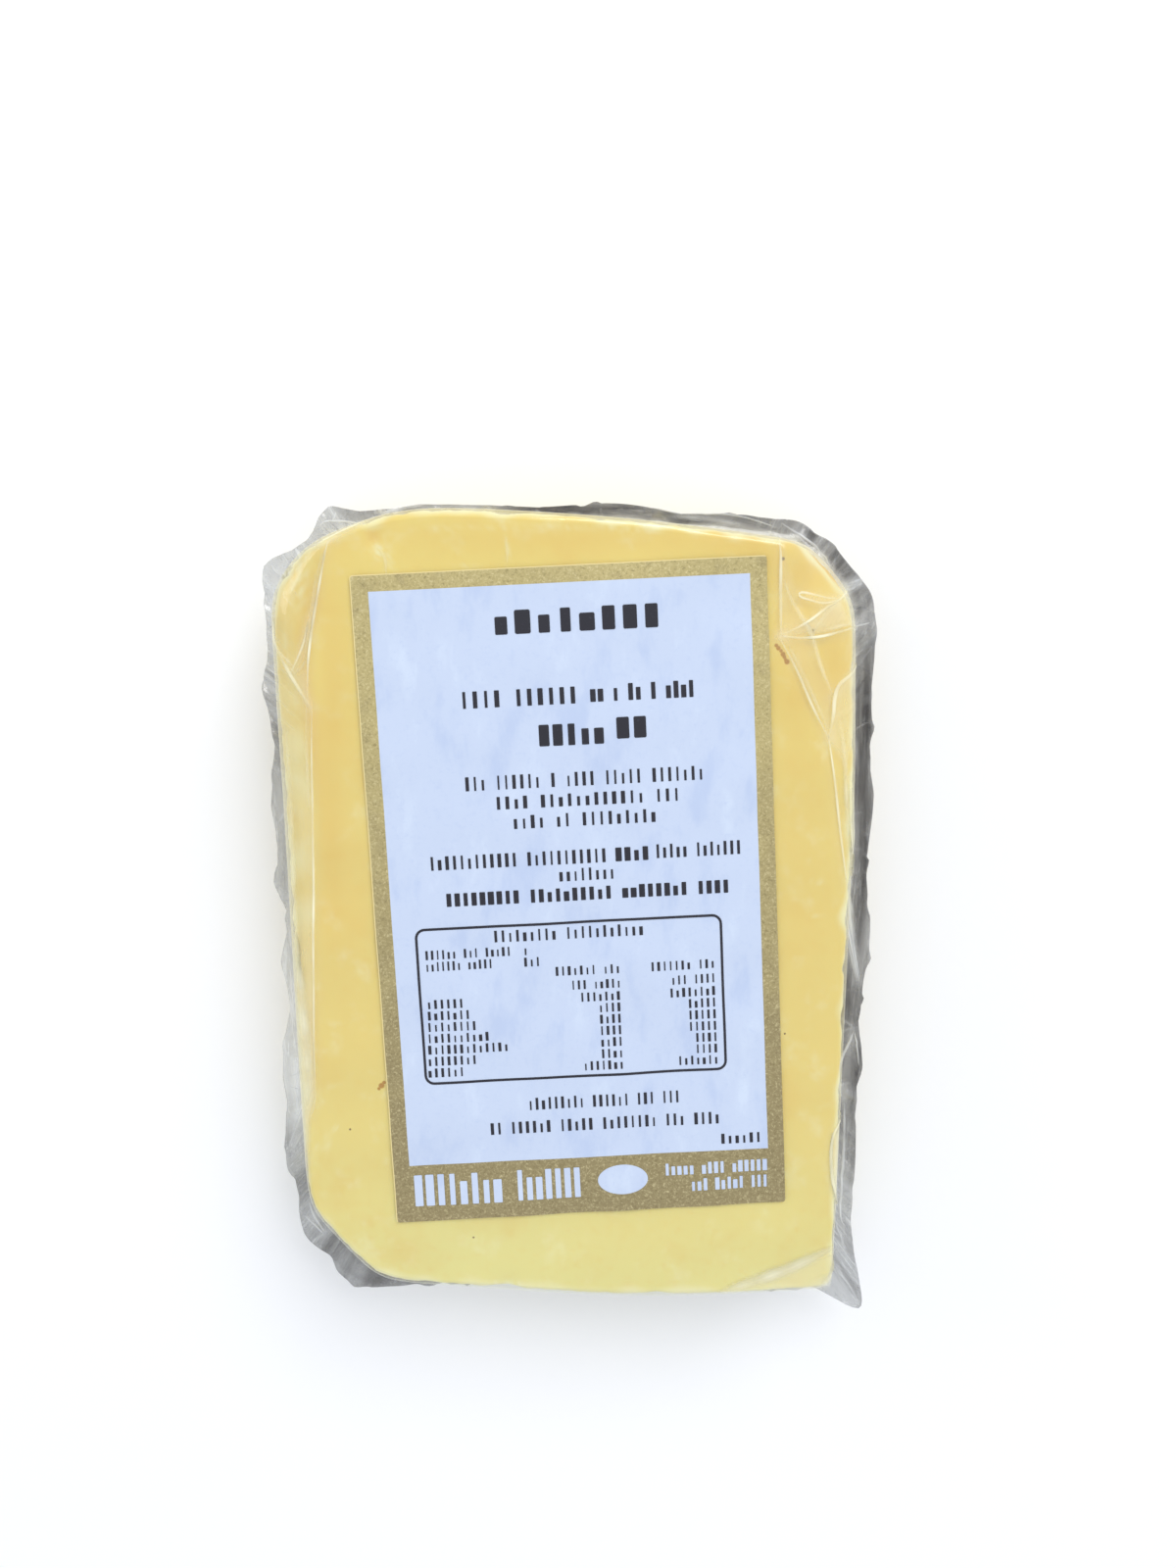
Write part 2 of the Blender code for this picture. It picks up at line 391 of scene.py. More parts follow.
# %% [markdown]
# ## Putting a surface into a mesh
#
# Every closed piece here is a stack of loops. Neighbouring loops are joined by four-sided faces,
# and each end is closed by a fan round one point. The face list is worked out as whole arrays,
# and the sign of the enclosed volume says whether the faces look outwards.

# %% Loops into a closed mesh
def loop_faces(rows, count):
    """Corner numbers of the faces between rows of count points, as one array."""
    upper = np.arange(rows - 1)[:, None] * count
    here, after = np.arange(count), (np.arange(count) + 1) % count
    corners = [upper + here, upper + count + here, upper + count + after, upper + after]
    return np.stack(corners, -1).reshape(-1, 4)


def signed_volume(points, faces):
    """Volume inside the faces, above zero if they look outwards: sum of a . (b x c) / 6."""
    total = 0.0
    for face in faces:
        for i in range(1, face.shape[1] - 1):
            a, b, c = points[face[:, 0]], points[face[:, i]], points[face[:, i + 1]]
            total += np.einsum("ij,ij->", a, np.cross(b, c)) / 6.0
    return total


def closed_loops(name, stacks, finish, attributes=None):
    """One smooth piece from closed stacks of loops in mm, with a fan at both ends of each.

    A stack has the shape (rows, count, 3). Each attribute is a list with, for each stack, an
    array of shape (rows, count), or (rows, count, 3) for a vector.
    """
    points, blocks, values = [], [], {key: [] for key in attributes or {}}
    start = 0
    for number, loops in enumerate(stacks):
        rows, count, _ = loops.shape
        own = np.concatenate([loops.reshape(-1, 3), loops[:1].mean(1), loops[-1:].mean(1)]) * MM
        here, after = np.arange(count), (np.arange(count) + 1) % count
        last = (rows - 1) * count
        faces = [loop_faces(rows, count),
                 np.stack([np.full(count, rows * count), here, after], -1),
                 np.stack([np.full(count, rows * count + 1), last + after, last + here], -1)]
        if signed_volume(own, faces) < 0.0:
            faces = [face[:, ::-1] for face in faces]
        blocks += [face + start for face in faces]
        points.append(own)
        for key, value in values.items():
            field = attributes[key][number]
            field = np.broadcast_to(field, (rows, count) + field.shape[2:]).reshape(rows * count, -1)
            value.append(np.concatenate([field, field[[0, -1]]]))
        start += len(own)
    values = {key: np.concatenate(value).squeeze() for key, value in values.items()}
    return add_piece(name, np.concatenate(points), blocks, finish, values)


def add_piece(name, points, faces, finish, attributes=None):
    """A piece at the origin from points in metres and arrays of faces, with its finish."""
    mesh = bpy.data.meshes.new(name)
    corners = [corner for block in faces for corner in block.tolist()]
    mesh.from_pydata(points.tolist(), [], corners)
    mesh.materials.append(finish)
    for key, values in (attributes or {}).items():
        values = np.asarray(values, dtype=np.float32)
        kind, field = ("FLOAT", "value") if values.ndim == 1 else ("FLOAT_VECTOR", "vector")
        mesh.attributes.new(name=key, type=kind, domain="POINT").data.foreach_set(field, values.ravel())
    mesh.shade_smooth()
    mesh.validate()
    piece = bpy.data.objects.new(name, mesh)
    bpy.context.scene.collection.objects.link(piece)
    size = (points.max(0) - points.min(0)) / MM
    print(name, "has", len(corners), "faces and measures", size.round(1), "mm")
    return piece


# %% [markdown]
# ## Building a finish
#
# A finish is a small network of shader nodes. One function adds a node of any kind with its
# settings and links, from a table of the kinds that this lesson uses. Another turns the sRGB
# colour codes that people read from a colour chart into the linear values that a shader needs.

# %% Nodes and colours
# Each kind: Blender's name, its settings, the output that is used and the inputs in turn.
NODE_KINDS = {
    "place": ("TexCoord", {}, "Object", ()),
    "x, y, z": ("SeparateXYZ", {}, None, ("Vector",)),
    "upright": ("CombineXYZ", {}, "Vector", ("Z",)),
    "turn and stretch": ("Mapping", {}, "Vector", ("Vector",)),
    "number on the mesh": ("Attribute", {}, "Fac", ()),
    "vector on the mesh": ("Attribute", {}, "Vector", ()),
    "noise": ("TexNoise", {}, "Fac", ("Vector", "Scale", "Detail", "Roughness")),
    "soft range": ("MapRange", {"interpolation_type": "SMOOTHSTEP"}, "Result", (0, 1, 2, 3, 4)),
    "mixed colour": ("Mix", {"data_type": "RGBA"}, 2, (0, 6, 7)),
    "mixed number": ("Mix", {}, 0, (0, 2, 3)),
    "sum": ("Math", {"operation": "ADD"}, 0, (0, 1)),
    "product": ("Math", {"operation": "MULTIPLY"}, 0, (0, 1)),
    "product and sum": ("Math", {"operation": "MULTIPLY_ADD"}, 0, (0, 1, 2)),
    "greater": ("Math", {"operation": "MAXIMUM"}, 0, (0, 1)),
    "power": ("Math", {"operation": "POWER"}, 0, (0, 1)),
    "vector product": ("VectorMath", {"operation": "MULTIPLY"}, "Vector", (0, 1)),
    "vector product and sum": ("VectorMath", {"operation": "MULTIPLY_ADD"}, "Vector", (0, 1, 2)),
    "distance": ("VectorMath", {"operation": "DISTANCE"}, "Value", (0, 1)),
    "bump": ("Bump", {}, "Normal", ("Height", "Strength", "Distance")),
    "facing": ("LayerWeight", {}, "Facing", ("Normal", "Blend")),
    "solid surface": ("BsdfPrincipled", {}, "BSDF", ("Base Color", "Roughness")),
    "see-through surface": ("BsdfTransparent", {}, 0, ("Color",)),
    "mirror surface": ("BsdfGlossy", {}, 0, ("Color", "Roughness")),
    "surface lit from behind": ("BsdfTranslucent", {}, 0, ("Color",)),
    "mixed surface": ("MixShader", {}, 0, (0, 1, 2)),
    "output": ("OutputMaterial", {}, None, ("Surface",)),
}


def linear_colour(code):
    """Linear red, green, blue and alpha of an sRGB colour code such as E8D288."""
    channels = np.array([int(code[i:i + 2], 16) for i in (0, 2, 4)]) / 255.0
    linear = np.where(channels <= 0.04045, channels / 12.92, ((channels + 0.055) / 1.055) ** 2.4)
    return (*linear.tolist(), 1.0)


def add_node(tree, kind, *values, settings=None, **inputs):
    """A node of a kind in the table; returns its output socket, or the node if it has none named.

    The values go to the kind's inputs in turn. Further inputs are named, with _ for a space.
    A socket is linked, a colour code such as "E8D288" is turned linear, and any other value is
    set on the input itself.
    """
    name, own_settings, output, order = NODE_KINDS[kind]
    node = tree.nodes.new("ShaderNode" + name)
    for key, value in {**own_settings, **(settings or {})}.items():
        setattr(node, key, value)
    named = [(key.replace("_", " "), value) for key, value in inputs.items()]
    for key, value in [*zip(order, values), *named]:
        if isinstance(value, bpy.types.NodeSocket):
            tree.links.new(value, node.inputs[key])
        else:
            node.inputs[key].default_value = linear_colour(value) if isinstance(value, str) else value
    return node if output is None else node.outputs[output]


def new_finish(name):
    """An empty material and its node tree."""
    finish = bpy.data.materials.new(name)
    finish.use_nodes = True
    finish.node_tree.nodes.clear()
    return finish, finish.node_tree


def blotches(size_mm):
    """Scale of a noise whose blotches are about size_mm across."""
    return 1.0 / (size_mm * MM)


print("E8D288 is", np.round(linear_colour("E8D288")[:3], 3), "in linear light")

# %% [markdown]
# ## Hard cheese
#
# Hard cow's milk cheese is a dense, slightly waxy solid. Its cut face is matte, pale yellow and a
# little translucent: light that enters comes out again nearby, so thin edges look paler and
# creamier than the body. The colour drifts over the slab, deeper and more orange near one end
# and towards the rim's inner edge, more lemon near the other. The finish mixes a few colours by
# soft noise and by an edge value stored on the mesh, and adds a few small dark specks. The edge
# value is painted light: a painted highlight along the face's edge and a painted reflection on
# the worn left rim, besides some paler patches.

# %% Finish of the cheese
CHEESE_WARM = "EFD573"
CHEESE_MIDDLE = "ECD376"
CHEESE_LEMON = "EADF8D"
CHEESE_DEEP = "E7BE58"
# Pale cream: random pale blotches, and the painted highlight and reflection of the edge value.
CHEESE_PALE_AND_HIGHLIGHT = "F5EEBB"
SPECK = "86662F"
CRACK = "BA8526"
# Size in mm of each blotch, the noise value where it starts, its strength and its colour.
CHEESE_BLOTCHES = (
    (9.0, 0.48, 0.26, CHEESE_DEEP), (5.0, 0.52, 0.36, CHEESE_PALE_AND_HIGHLIGHT), (1.5, 0.5, 0.16, CHEESE_DEEP),
)
SPECKS = (
    (31.7, 54.1, 0.19), (33.5, -18, 0.12), (-33.8, -33.1, 0.13), (-14.9, -51.1, 0.12),
)
CRACKS = (
    (31, 41.5, 0.22), (31.3, 41.1, 0.26), (31.7, 40.7, 0.2), (32, 40.2, 0.28), (32.2, 39.8, 0.22),
    (32.4, 39.4, 0.2), (32.6, 39.1, 0.3), (-28.8, -26.1, 0.34), (-29.2, -26.6, 0.2), (-28.4, -25.6, 0.22),
)


def spots(tree, where, places, softness=1.6):
    """1 inside any of the round spots (x, y, radius in mm from the slab's middle), 0 outside."""
    covered = 0.0
    for x, y, radius in places:
        middle = ((x + SLAB_MIDDLE[0]) * MM, (y + SLAB_MIDDLE[1]) * MM, 0.0)
        flat = add_node(tree, "vector product", where, (1.0, 1.0, 0.0))
        away = add_node(tree, "distance", flat, middle)
        inside = add_node(tree, "soft range", away, radius * MM, softness * radius * MM, 1.0, 0.0)
        covered = add_node(tree, "greater", covered, inside)
    height = add_node(tree, "x, y, z", where).outputs["Z"]
    upper = add_node(tree, "soft range", height, 0.7 * SLAB_TOP * MM, 0.8 * SLAB_TOP * MM)
    return add_node(tree, "product", covered, upper)


def make_cheese_finish():
    """Hard cheese: colours by place, noise and edge value, a waxy surface and some scattering."""
    finish, tree = new_finish("hard_cheese")
    where = add_node(tree, "place")
    along = add_node(tree, "x, y, z", where).outputs["Y"]
    drift = add_node(tree, "noise", where, blotches(45.0), 1.0)
    shifted = add_node(tree, "product and sum", drift, 30.0 * MM, along)
    warm = add_node(tree, "soft range", shifted, 75.0 * MM, 25.0 * MM)
    body = add_node(tree, "mixed colour", warm, CHEESE_WARM, CHEESE_MIDDLE)
    lemon = add_node(tree, "soft range", shifted, 0.0, -45.0 * MM)
    body = add_node(tree, "mixed colour", lemon, body, CHEESE_LEMON)
    for size, start, most, code in CHEESE_BLOTCHES:
        cloud = add_node(tree, "noise", where, blotches(size), 3.0, 0.6)
        amount = add_node(tree, "soft range", cloud, start, start + 0.27, 0.0, most)
        body = add_node(tree, "mixed colour", amount, body, code)
    # The edge value mixes in pale cream as a painted highlight and a painted reflection.
    for key, code in (("deep", CHEESE_DEEP), ("edge", CHEESE_PALE_AND_HIGHLIGHT)):
        amount = add_node(tree, "number on the mesh", settings={"attribute_name": key})
        body = add_node(tree, "mixed colour", amount, body, code)
    for places, code in ((CRACKS, CRACK), (SPECKS, SPECK)):
        body = add_node(tree, "mixed colour", spots(tree, where, places), body, code)
    fine = add_node(tree, "noise", where, blotches(0.9), 4.0, 0.6)
    coarse = add_node(tree, "noise", where, blotches(4.0), 2.0)
    grain = add_node(tree, "product and sum", fine, 0.35, coarse)
    bump = add_node(tree, "bump", grain, 0.35, 0.15 * MM)
    surface = add_node(tree, "solid surface", body, 0.45, IOR=1.45, Normal=bump, Subsurface_Weight=0.12,
                       Subsurface_Radius=(1.0, 0.75, 0.35), Subsurface_Scale=2.5 * MM)
    add_node(tree, "output", surface)
    return finish


cheese_finish = make_cheese_finish()
print("hard cheese has", len(cheese_finish.node_tree.nodes), "nodes")

# %% [markdown]
# ## The slab of cheese
#
# The cheese fills the bag except where the film tents: in the corner of wall and skirt, and over
# the worn rim on the left and at the upper right, where the cheese has crumbled lower than the
# film that spans it. So it is its own surface, a little inside the film on the faces and walls,
# with a lower, rougher rim. It gets small dents at both ends and shallow drag marks of the knife.

# %% Shape of the cheese
CHEESE_AROUND = 600
CHEESE_INSET = 0.16
CHEESE_RIM_EXTRA = 0.35
CHEESE_RIM_POWER = 1.15
# Place (x, y), half sizes and strength of patches of deeper and of paler colour on the upper face.
DEEP_PATCHES = (
    (-41.2, 44, 1.4, 6.5, 0.3), (-33.5, 40, 2.5, 12, 0.25), (2, 57, 26, 2.2, 0.32),
    (36.5, 52, 3.5, 3.5, 0.4), (40, 40, 2.2, 7, 0.45), (34, 36, 3, 9, 0.2),
    (-28.2, 57.3, 0.9, 0.8, 0.8),
    (27, 58, 6, 1.5, 0.3), (-33, 10, 2, 22, 0.15), (34.5, 44, 5, 12, 0.22),
    (36, 12, 4, 22, 0.18), (27, 56, 8, 3.5, 0.3), (-35, 22, 1.4, 26, 0.25),
)
PALE_PATCHES = (
    (-27.4, 55.2, 0.8, 1.4, 0.6), (-26, 53, 0.25, 2.2, 0.5), (-14.5, 52.8, 1.6, 0.5, 0.35),
    (-8.6, 55.5, 0.25, 2.4, 0.4), (-9.7, -59.3, 4.5, 0.9, 0.7), (-37.3, -34.9, 0.45, 1.5, 0.6),
    (-41.6, 40, 0.8, 5, 0.3),
    (-38.7, -36, 1.2, 0.35, 0.5), (-36, -33, 0.9, 0.4, 0.4), (-28.6, -27.4, 0.8, 0.6, 0.4),
    (38, 5.9, 0.9, 0.35, 0.5), (38.2, 0.6, 0.7, 0.3, 0.5), (36.5, 9, 0.4, 0.3, 0.4),
    (3, 58.6, 22, 0.5, 0.25), (-39.4, 51, 1.6, 4, 0.5), (33.5, -57.8, 6, 1.4, 0.3),
)
CORNER_WALL_DIRECTIONS = (48.0, 58.5)
CORNER_WALL_WIDTH = 1.1
RAGGED = 0.07
COARSE_ROUGH, FINE_ROUGH = 0.1, 0.05
# Strength of the painted highlight along the upper edge, a pale line, and its width in mm at the
# upper and lower end.
EDGE_HIGHLIGHT = 0.85
EDGE_WIDTHS = (1.3, 2.2)
EDGE_WANDER = 0.3
# Painted paleness of the strip outside the left ridge, a painted reflection of the film tented
# over it, and how much it varies.
STRIP_PAINTED_REFLECTION = (0.22, 0.15)
# The deeper line inside the left ridge: way in and half width in mm, least strength and gain.
RIDGE_DEEP = (1.6, 1.7, 0.2, 0.35)
CORNER_WALL_DEEP = 0.75
DENTS = ((-28.0, 57.3, 1.6, 0.9), (-9.7, -59.6, 1.8, 0.8), (-22.5, -59.9, 1.2, 0.5), (14.0, -61.5, 1.4, 0.5))


def cheese_point(angle, s):
    """Place in mm of the cheese at (angle, s): s runs 0..1 on the face, to 2 over the rim,
    to 3 down the wall, to 4 round the lower rim and to 5 across the underside.
    """
    angle, s = np.broadcast_arrays(np.asarray(angle, float), np.asarray(s, float))
    part = pack_section(angle)
    wall = part["wall"] - FILM - CHEESE_INSET
    extra = CHEESE_RIM_EXTRA * smooth_step(part["rim"], 1.5, 6.0)
    width = part["rim"] * (1.0 + extra)
    drop = part["drop"] * (1.0 + 0.6 * extra)
    top, bottom = SLAB_TOP - CHEESE_INSET, CHEESE_INSET
    rim_out, rim_up = quarter_turn(s - 1.0, CHEESE_RIM_POWER)
    low_out, low_up = quarter_turn(4.0 - s)
    stretches = [s < 1, s < 2, s < 3, s < 4, s >= 4]
    radius = np.select(stretches, [
        (wall - width) * s, wall - width + width * rim_out, wall,
        wall - LOWER_RIM + LOWER_RIM * low_out, (wall - LOWER_RIM) * np.clip(5.0 - s, 0.0, 1.0)])
    height = np.select(stretches, [
        top + 0.0 * s, top - drop + drop * rim_up, top - drop + (bottom + LOWER_RIM - top + drop) * (s - 2.0),
        bottom + LOWER_RIM * (1.0 - low_up), bottom + 0.0 * s])
    x, y = radius * np.cos(angle), radius * np.sin(angle)
    upper = 1.0 - smooth_step(s, 1.0, 1.6)
    height = height + face_relief(x, y) * upper
    rough = COARSE_ROUGH * ripple(x + height, y, 6.0, 3) + FINE_ROUGH * ripple(x, y + height, 2.4, 4)
    chipped = RAGGED * np.clip(ripple(x, y, 5.0, 6), 0.0, None) ** 2 * between(s, 1.2, 1.9, 2.1, 2.7)
    radius = radius - np.abs(rough) * between(s, 1.1, 1.9, 3.2, 4.0) - chipped
    for dent_x, dent_y, spread, depth in DENTS:
        nearness = np.exp(-((x - dent_x) ** 2 + (y - dent_y) ** 2) / spread ** 2)
        radius = radius - depth * nearness * between(s, 1.0, 1.8, 2.0, 2.6)
        height = height - 0.5 * depth * nearness * (1.0 - smooth_step(s, 1.8, 2.4))
    x, y = radius * np.cos(angle), radius * np.sin(angle)
    return np.stack([x + SLAB_MIDDLE[0], y + SLAB_MIDDLE[1], height], axis=-1)


def stations(*stretches):
    """Profile stations: each stretch is (start, end, steps), and its end belongs to the next."""
    runs = [np.linspace(start, end, steps, endpoint=False) for start, end, steps in stretches]
    return np.concatenate(runs + [[stretches[-1][1]]])


def patched(x, y, patches):
    """Sum of soft oval patches: strength * exp(-(dx / half_x) ** 2 - (dy / half_y) ** 2)."""
    return sum(strength * np.exp(-((x - middle_x) / half_x) ** 2 - ((y - middle_y) / half_y) ** 2)
               for middle_x, middle_y, half_x, half_y, strength in patches)


def make_cheese():
    """The slab as loops from the middle of its face to the middle of its underside."""
    angle = even_angles(CHEESE_AROUND)[None, :]
    s = stations((0.02, 0.7, 16), (0.7, 1.0, 26), (1.0, 2.0, 22), (2.0, 3.0, 30), (3.0, 4.0, 8),
                 (4.0, 4.98, 16))[:, None]
    loops = cheese_point(angle, s)
    part = pack_section(angle)
    x, y = places_on(loops)
    from_wall = part["wall"] - np.hypot(x, y)
    wander = EDGE_WANDER * ripple(loops[..., 0], loops[..., 1], 7.0, 8)
    start, end = CORNER_WALL_DIRECTIONS
    across = np.clip((np.degrees(angle) - start) / (end - start), 0.0, 1.0)
    bare = CORNER_WALL_WIDTH * np.sin(math.pi * across)
    leaning = smooth_step(bare - from_wall, 0.0, 0.3)
    # edge is a painted highlight: a pale line along the face's edge, wider towards the lower end.
    reach = EDGE_WIDTHS[0] + (EDGE_WIDTHS[1] - EDGE_WIDTHS[0]) * smooth_step(-y, 45.0, 58.0)
    edge = EDGE_HIGHLIGHT * (1.0 - smooth_step((from_wall - bare + wander - 0.2) / reach, 0.0, 1.0))
    edge = edge * (1.0 - leaning) * (1.0 - 0.8 * smooth_step(s, 2.0, 2.25))
    tented = smooth_step(part["rim"], 2.0, 5.0)
    # strip is a painted reflection: the worn left rim painted paler under the film tented over it.
    strip = tented * smooth_step(part["rim"] - from_wall, -0.5, 1.0) * (x < 0.0) * (s < 2.3)
    strip = strip * (STRIP_PAINTED_REFLECTION[0] + STRIP_PAINTED_REFLECTION[1] * ripple(x, y, 9.0, 13)) * smooth_step(-y, -52.0, -20.0)
    edge = np.maximum(edge, strip)
    way_in, half, least, gain = RIDGE_DEEP
    ridge = np.exp(-((from_wall - part["rim"] - way_in) / half) ** 2) * tented * (x < 0.0)
    deep = ridge * (least + gain * smooth_step(y, 5.0, 40.0)) + CORNER_WALL_DEEP * leaning
    deep = (deep + patched(x, y, DEEP_PATCHES)) * (s < 2.2)
    edge = edge + patched(x, y, PALE_PATCHES) * (0.6 + 0.4 * ripple(x, y, 1.6, 17))
    attributes = {"edge": [np.clip(edge, 0.0, 0.9)], "deep": [np.clip(deep, 0.0, 0.9)]}
    return closed_loops("cheese_slab", [loops], cheese_finish, attributes)


cheese = make_cheese()

# %% [markdown]
# ## Clear vacuum film
#
# Vacuum bags are a clear polyamide and polyethylene film, about 0.08 mm thick. Light goes
# straight through it, and less than a tenth is thrown back by its two glossy faces, more at a
# glancing angle. A thin clear sheet bends no light, so the finish mixes a see-through shader with
# a glossy one instead of using glass. The Fresnel node would take light that leaves the bag for
# light inside a thick block and throw most of it back, so the share is worked out by Schlick's
# formula from the facing value, which is the same from both sides, and its steep rise is cut
# short. Where the film is gathered, folded or standing off the cheese it turns milky, which a
# haze value stored on the mesh gives. The loose skirt is painted grey: a streaky grey tint is
# painted shade, for the dark ground and the shadow seen through the clear film.

# %% Finish of the film
FILM_TINT = "FCFDFD"
FOLD_TINT = "FFFFFF"
# Painted shade: the grey that the shade attribute mixes into the see-through film.
SKIRT_PAINTED_SHADE = "564F47"
# Over the cheese the milk is painted cream: the cheese's light seen through it.
HAZE_ON_CHEESE = "FCF8D8"
HAZE_ON_SKIRT = "F4F6F7"
FILM_REFLECTS = 0.06
GLANCING_GAIN = 12.0
DRAWN_TOGETHER = 0.12
LIGHT_THROUGH_MILK = 0.2


def make_film_finish(name, reflects, clear_colour):
    """Clear film: see-through and glossy, turned milky by the haze attribute.

    The share of light thrown back is reflects * (1 + GLANCING_GAIN * facing ** 5). Streaks come
    from noise whose one direction is drawn together: outwards on gathered film, elsewhere along
    the outline. The shade attribute greys the see-through part with painted shade.
    """
    finish, tree = new_finish(name)
    haze, skirt, shade, crinkled, gather, out = [
        add_node(tree, "number on the mesh", settings={"attribute_name": key})
        for key in ("haze", "skirt", "shade", "crinkled", "gather", "out")]
    root = add_node(tree, "vector on the mesh", settings={"attribute_name": "root"})
    where = add_node(tree, "place")
    away = add_node(tree, "upright", out)
    outwards, along = [
        add_node(tree, "vector product and sum", first, (DRAWN_TOGETHER,) * 3, second)
        for first, second in ((away, root), (root, away))]

    def streaks(size):
        """Streak noise of one size in mm, outwards or along by the gather attribute."""
        lines = [add_node(tree, "noise", way, blotches(size), 3.0, 0.6) for way in (along, outwards)]
        return add_node(tree, "mixed number", gather, *lines)

    marks = add_node(tree, "soft range", streaks(1.1), 0.54, 0.7, 0.0, 0.42)
    cloudy = add_node(tree, "noise", where, blotches(2.0), 5.0, 0.7)
    for source, low, high, most in ((streaks(0.5), 0.57, 0.72, 0.25), (cloudy, 0.58, 0.74, 0.2)):
        marks = add_node(tree, "sum", marks, add_node(tree, "soft range", source, low, high, 0.0, most))
    marks = add_node(tree, "product", marks, add_node(tree, "soft range", shade, 0.5, 1.0, 1.0, 0.4))
    amount = add_node(tree, "product and sum", marks, crinkled, haze, settings={"use_clamp": True})
    fine = add_node(tree, "noise", where, blotches(1.2), 3.0, 0.6)
    coarse = add_node(tree, "noise", where, blotches(5.0), 2.0)
    bump = add_node(tree, "bump", add_node(tree, "product and sum", fine, 0.4, coarse), 0.3, 0.25 * MM)
    # grey is painted shade, from the shade attribute and streaked by noise.
    grey = add_node(tree, "product", shade, add_node(tree, "soft range", streaks(2.6), 0.3, 0.62, 1.0, 0.5))
    clear = add_node(tree, "see-through surface",
                     add_node(tree, "mixed colour", grey, clear_colour, SKIRT_PAINTED_SHADE))
    gloss = add_node(tree, "mirror surface", "FFFFFF", 0.12, Normal=bump)
    glancing = add_node(tree, "power", add_node(tree, "facing", bump, 0.5), 5.0)
    thrown_back = add_node(tree, "product and sum", glancing, GLANCING_GAIN * reflects, reflects)
    film = add_node(tree, "mixed surface", thrown_back, clear, gloss)
    milk_colour = add_node(tree, "mixed colour", skirt, HAZE_ON_CHEESE, HAZE_ON_SKIRT)
    lit = add_node(tree, "solid surface", milk_colour, 0.3)
    lit_through = add_node(tree, "surface lit from behind", milk_colour)
    milk = add_node(tree, "mixed surface", LIGHT_THROUGH_MILK, lit, lit_through)
    add_node(tree, "output", add_node(tree, "mixed surface", amount, film, milk))
    return finish


film_finish = make_film_finish("clear_vacuum_film", FILM_REFLECTS, FILM_TINT)
fold_finish = make_film_finish("folded_vacuum_film", 0.0, FOLD_TINT)
print("film finishes:", film_finish.name, "and", fold_finish.name)

# %% [markdown]
# ## Folds in the film
#
# Here and there the film is folded over itself into a fine ridge, which shows as a pale line: a
# long one down the left side where the film leaves the face, and a fan of them at the upper
# right corner. A fold is a profile carried along a path: a flat oval that lies on the film and
# thins out to nothing at both ends. The paths are short lists of places on the film, in mm from
# the slab's middle, and the function below finds their (angle, s) and lays them on the surface.

# %% A fold along a path
FOLD_SIDES = 16
FOLD_STEP = 0.35
FOLD_LIFT = 0.03
FOLD_TAPER = 0.4
FOLD_UNEVEN = 0.2
# Width in mm from which a fold begins to lie flat, and at which it does.
LYING_WIDTHS = (0.8, 1.2)


def stations_at(x, y):
    """(angle, s) of the film at places (x, y) in mm from the slab's middle, face to skirt."""
    angle = np.arctan2(y, x) % (2.0 * math.pi)
    span = np.hypot(x, y)
    part = pack_section(angle)
    ridge, wall, tent = part["wall"] - part["rim"], part["wall"], part["tent"]
    over = np.clip((span - ridge) / part["rim"], 0.0, 1.0) ** (0.5 * RIM_ROUNDNESS)
    on_rim = 1.0 + np.arcsin(over) / (0.5 * math.pi)
    on_skirt = 4.0 + (span - wall - tent) / (part["tip"] - wall - tent)
    outside = np.where(span <= wall + 0.6, on_rim, np.clip(on_skirt, 3.2, 4.97))
    s = np.where(span < ridge, span / ridge, outside)
    return angle, s


def smooth_path(points, step):
    """Points at even steps on a Catmull-Rom curve through the given (a, b) points.

    On the stretch from p1 to p2, with p0 and p3 beyond, the curve at t is
    0.5 * (2 p1 + (p2 - p0) t + (2 p0 - 5 p1 + 4 p2 - p3) t^2 + (3 p1 - p0 - 3 p2 + p3) t^3).
    """
    p = np.array(points, float)
    p = np.concatenate([[2 * p[0] - p[1]], p, [2 * p[-1] - p[-2]]])
    t = np.linspace(0.0, 1.0, 24, endpoint=False)[:, None]
    runs = []
    for p0, p1, p2, p3 in zip(p, p[1:], p[2:], p[3:]):
        cubic = (3 * p1 - p0 - 3 * p2 + p3) * t ** 3
        runs.append(0.5 * (2 * p1 + (p2 - p0) * t + (2 * p0 - 5 * p1 + 4 * p2 - p3) * t ** 2 + cubic))
    curve = np.concatenate(runs + [p[-2:-1]])
    travelled = np.concatenate([[0.0], np.cumsum(np.linalg.norm(np.diff(curve, axis=0), axis=1))])
    wanted = np.linspace(0.0, travelled[-1], max(6, int(travelled[-1] / step)))
    return np.stack([np.interp(wanted, travelled, curve[:, i]) for i in range(curve.shape[1])], -1)


def film_normal(angle, s):
    """Direction out of the film at (angle, s), from its two tangents."""
    angle_step, s_step = 0.002, 0.01
    along = film_point(angle + angle_step, s) - film_point(angle - angle_step, s)
    down = film_point(angle, s + s_step) - film_point(angle, s - s_step)
    normal = np.cross(down, along)
    return normal / np.linalg.norm(normal, axis=-1, keepdims=True)


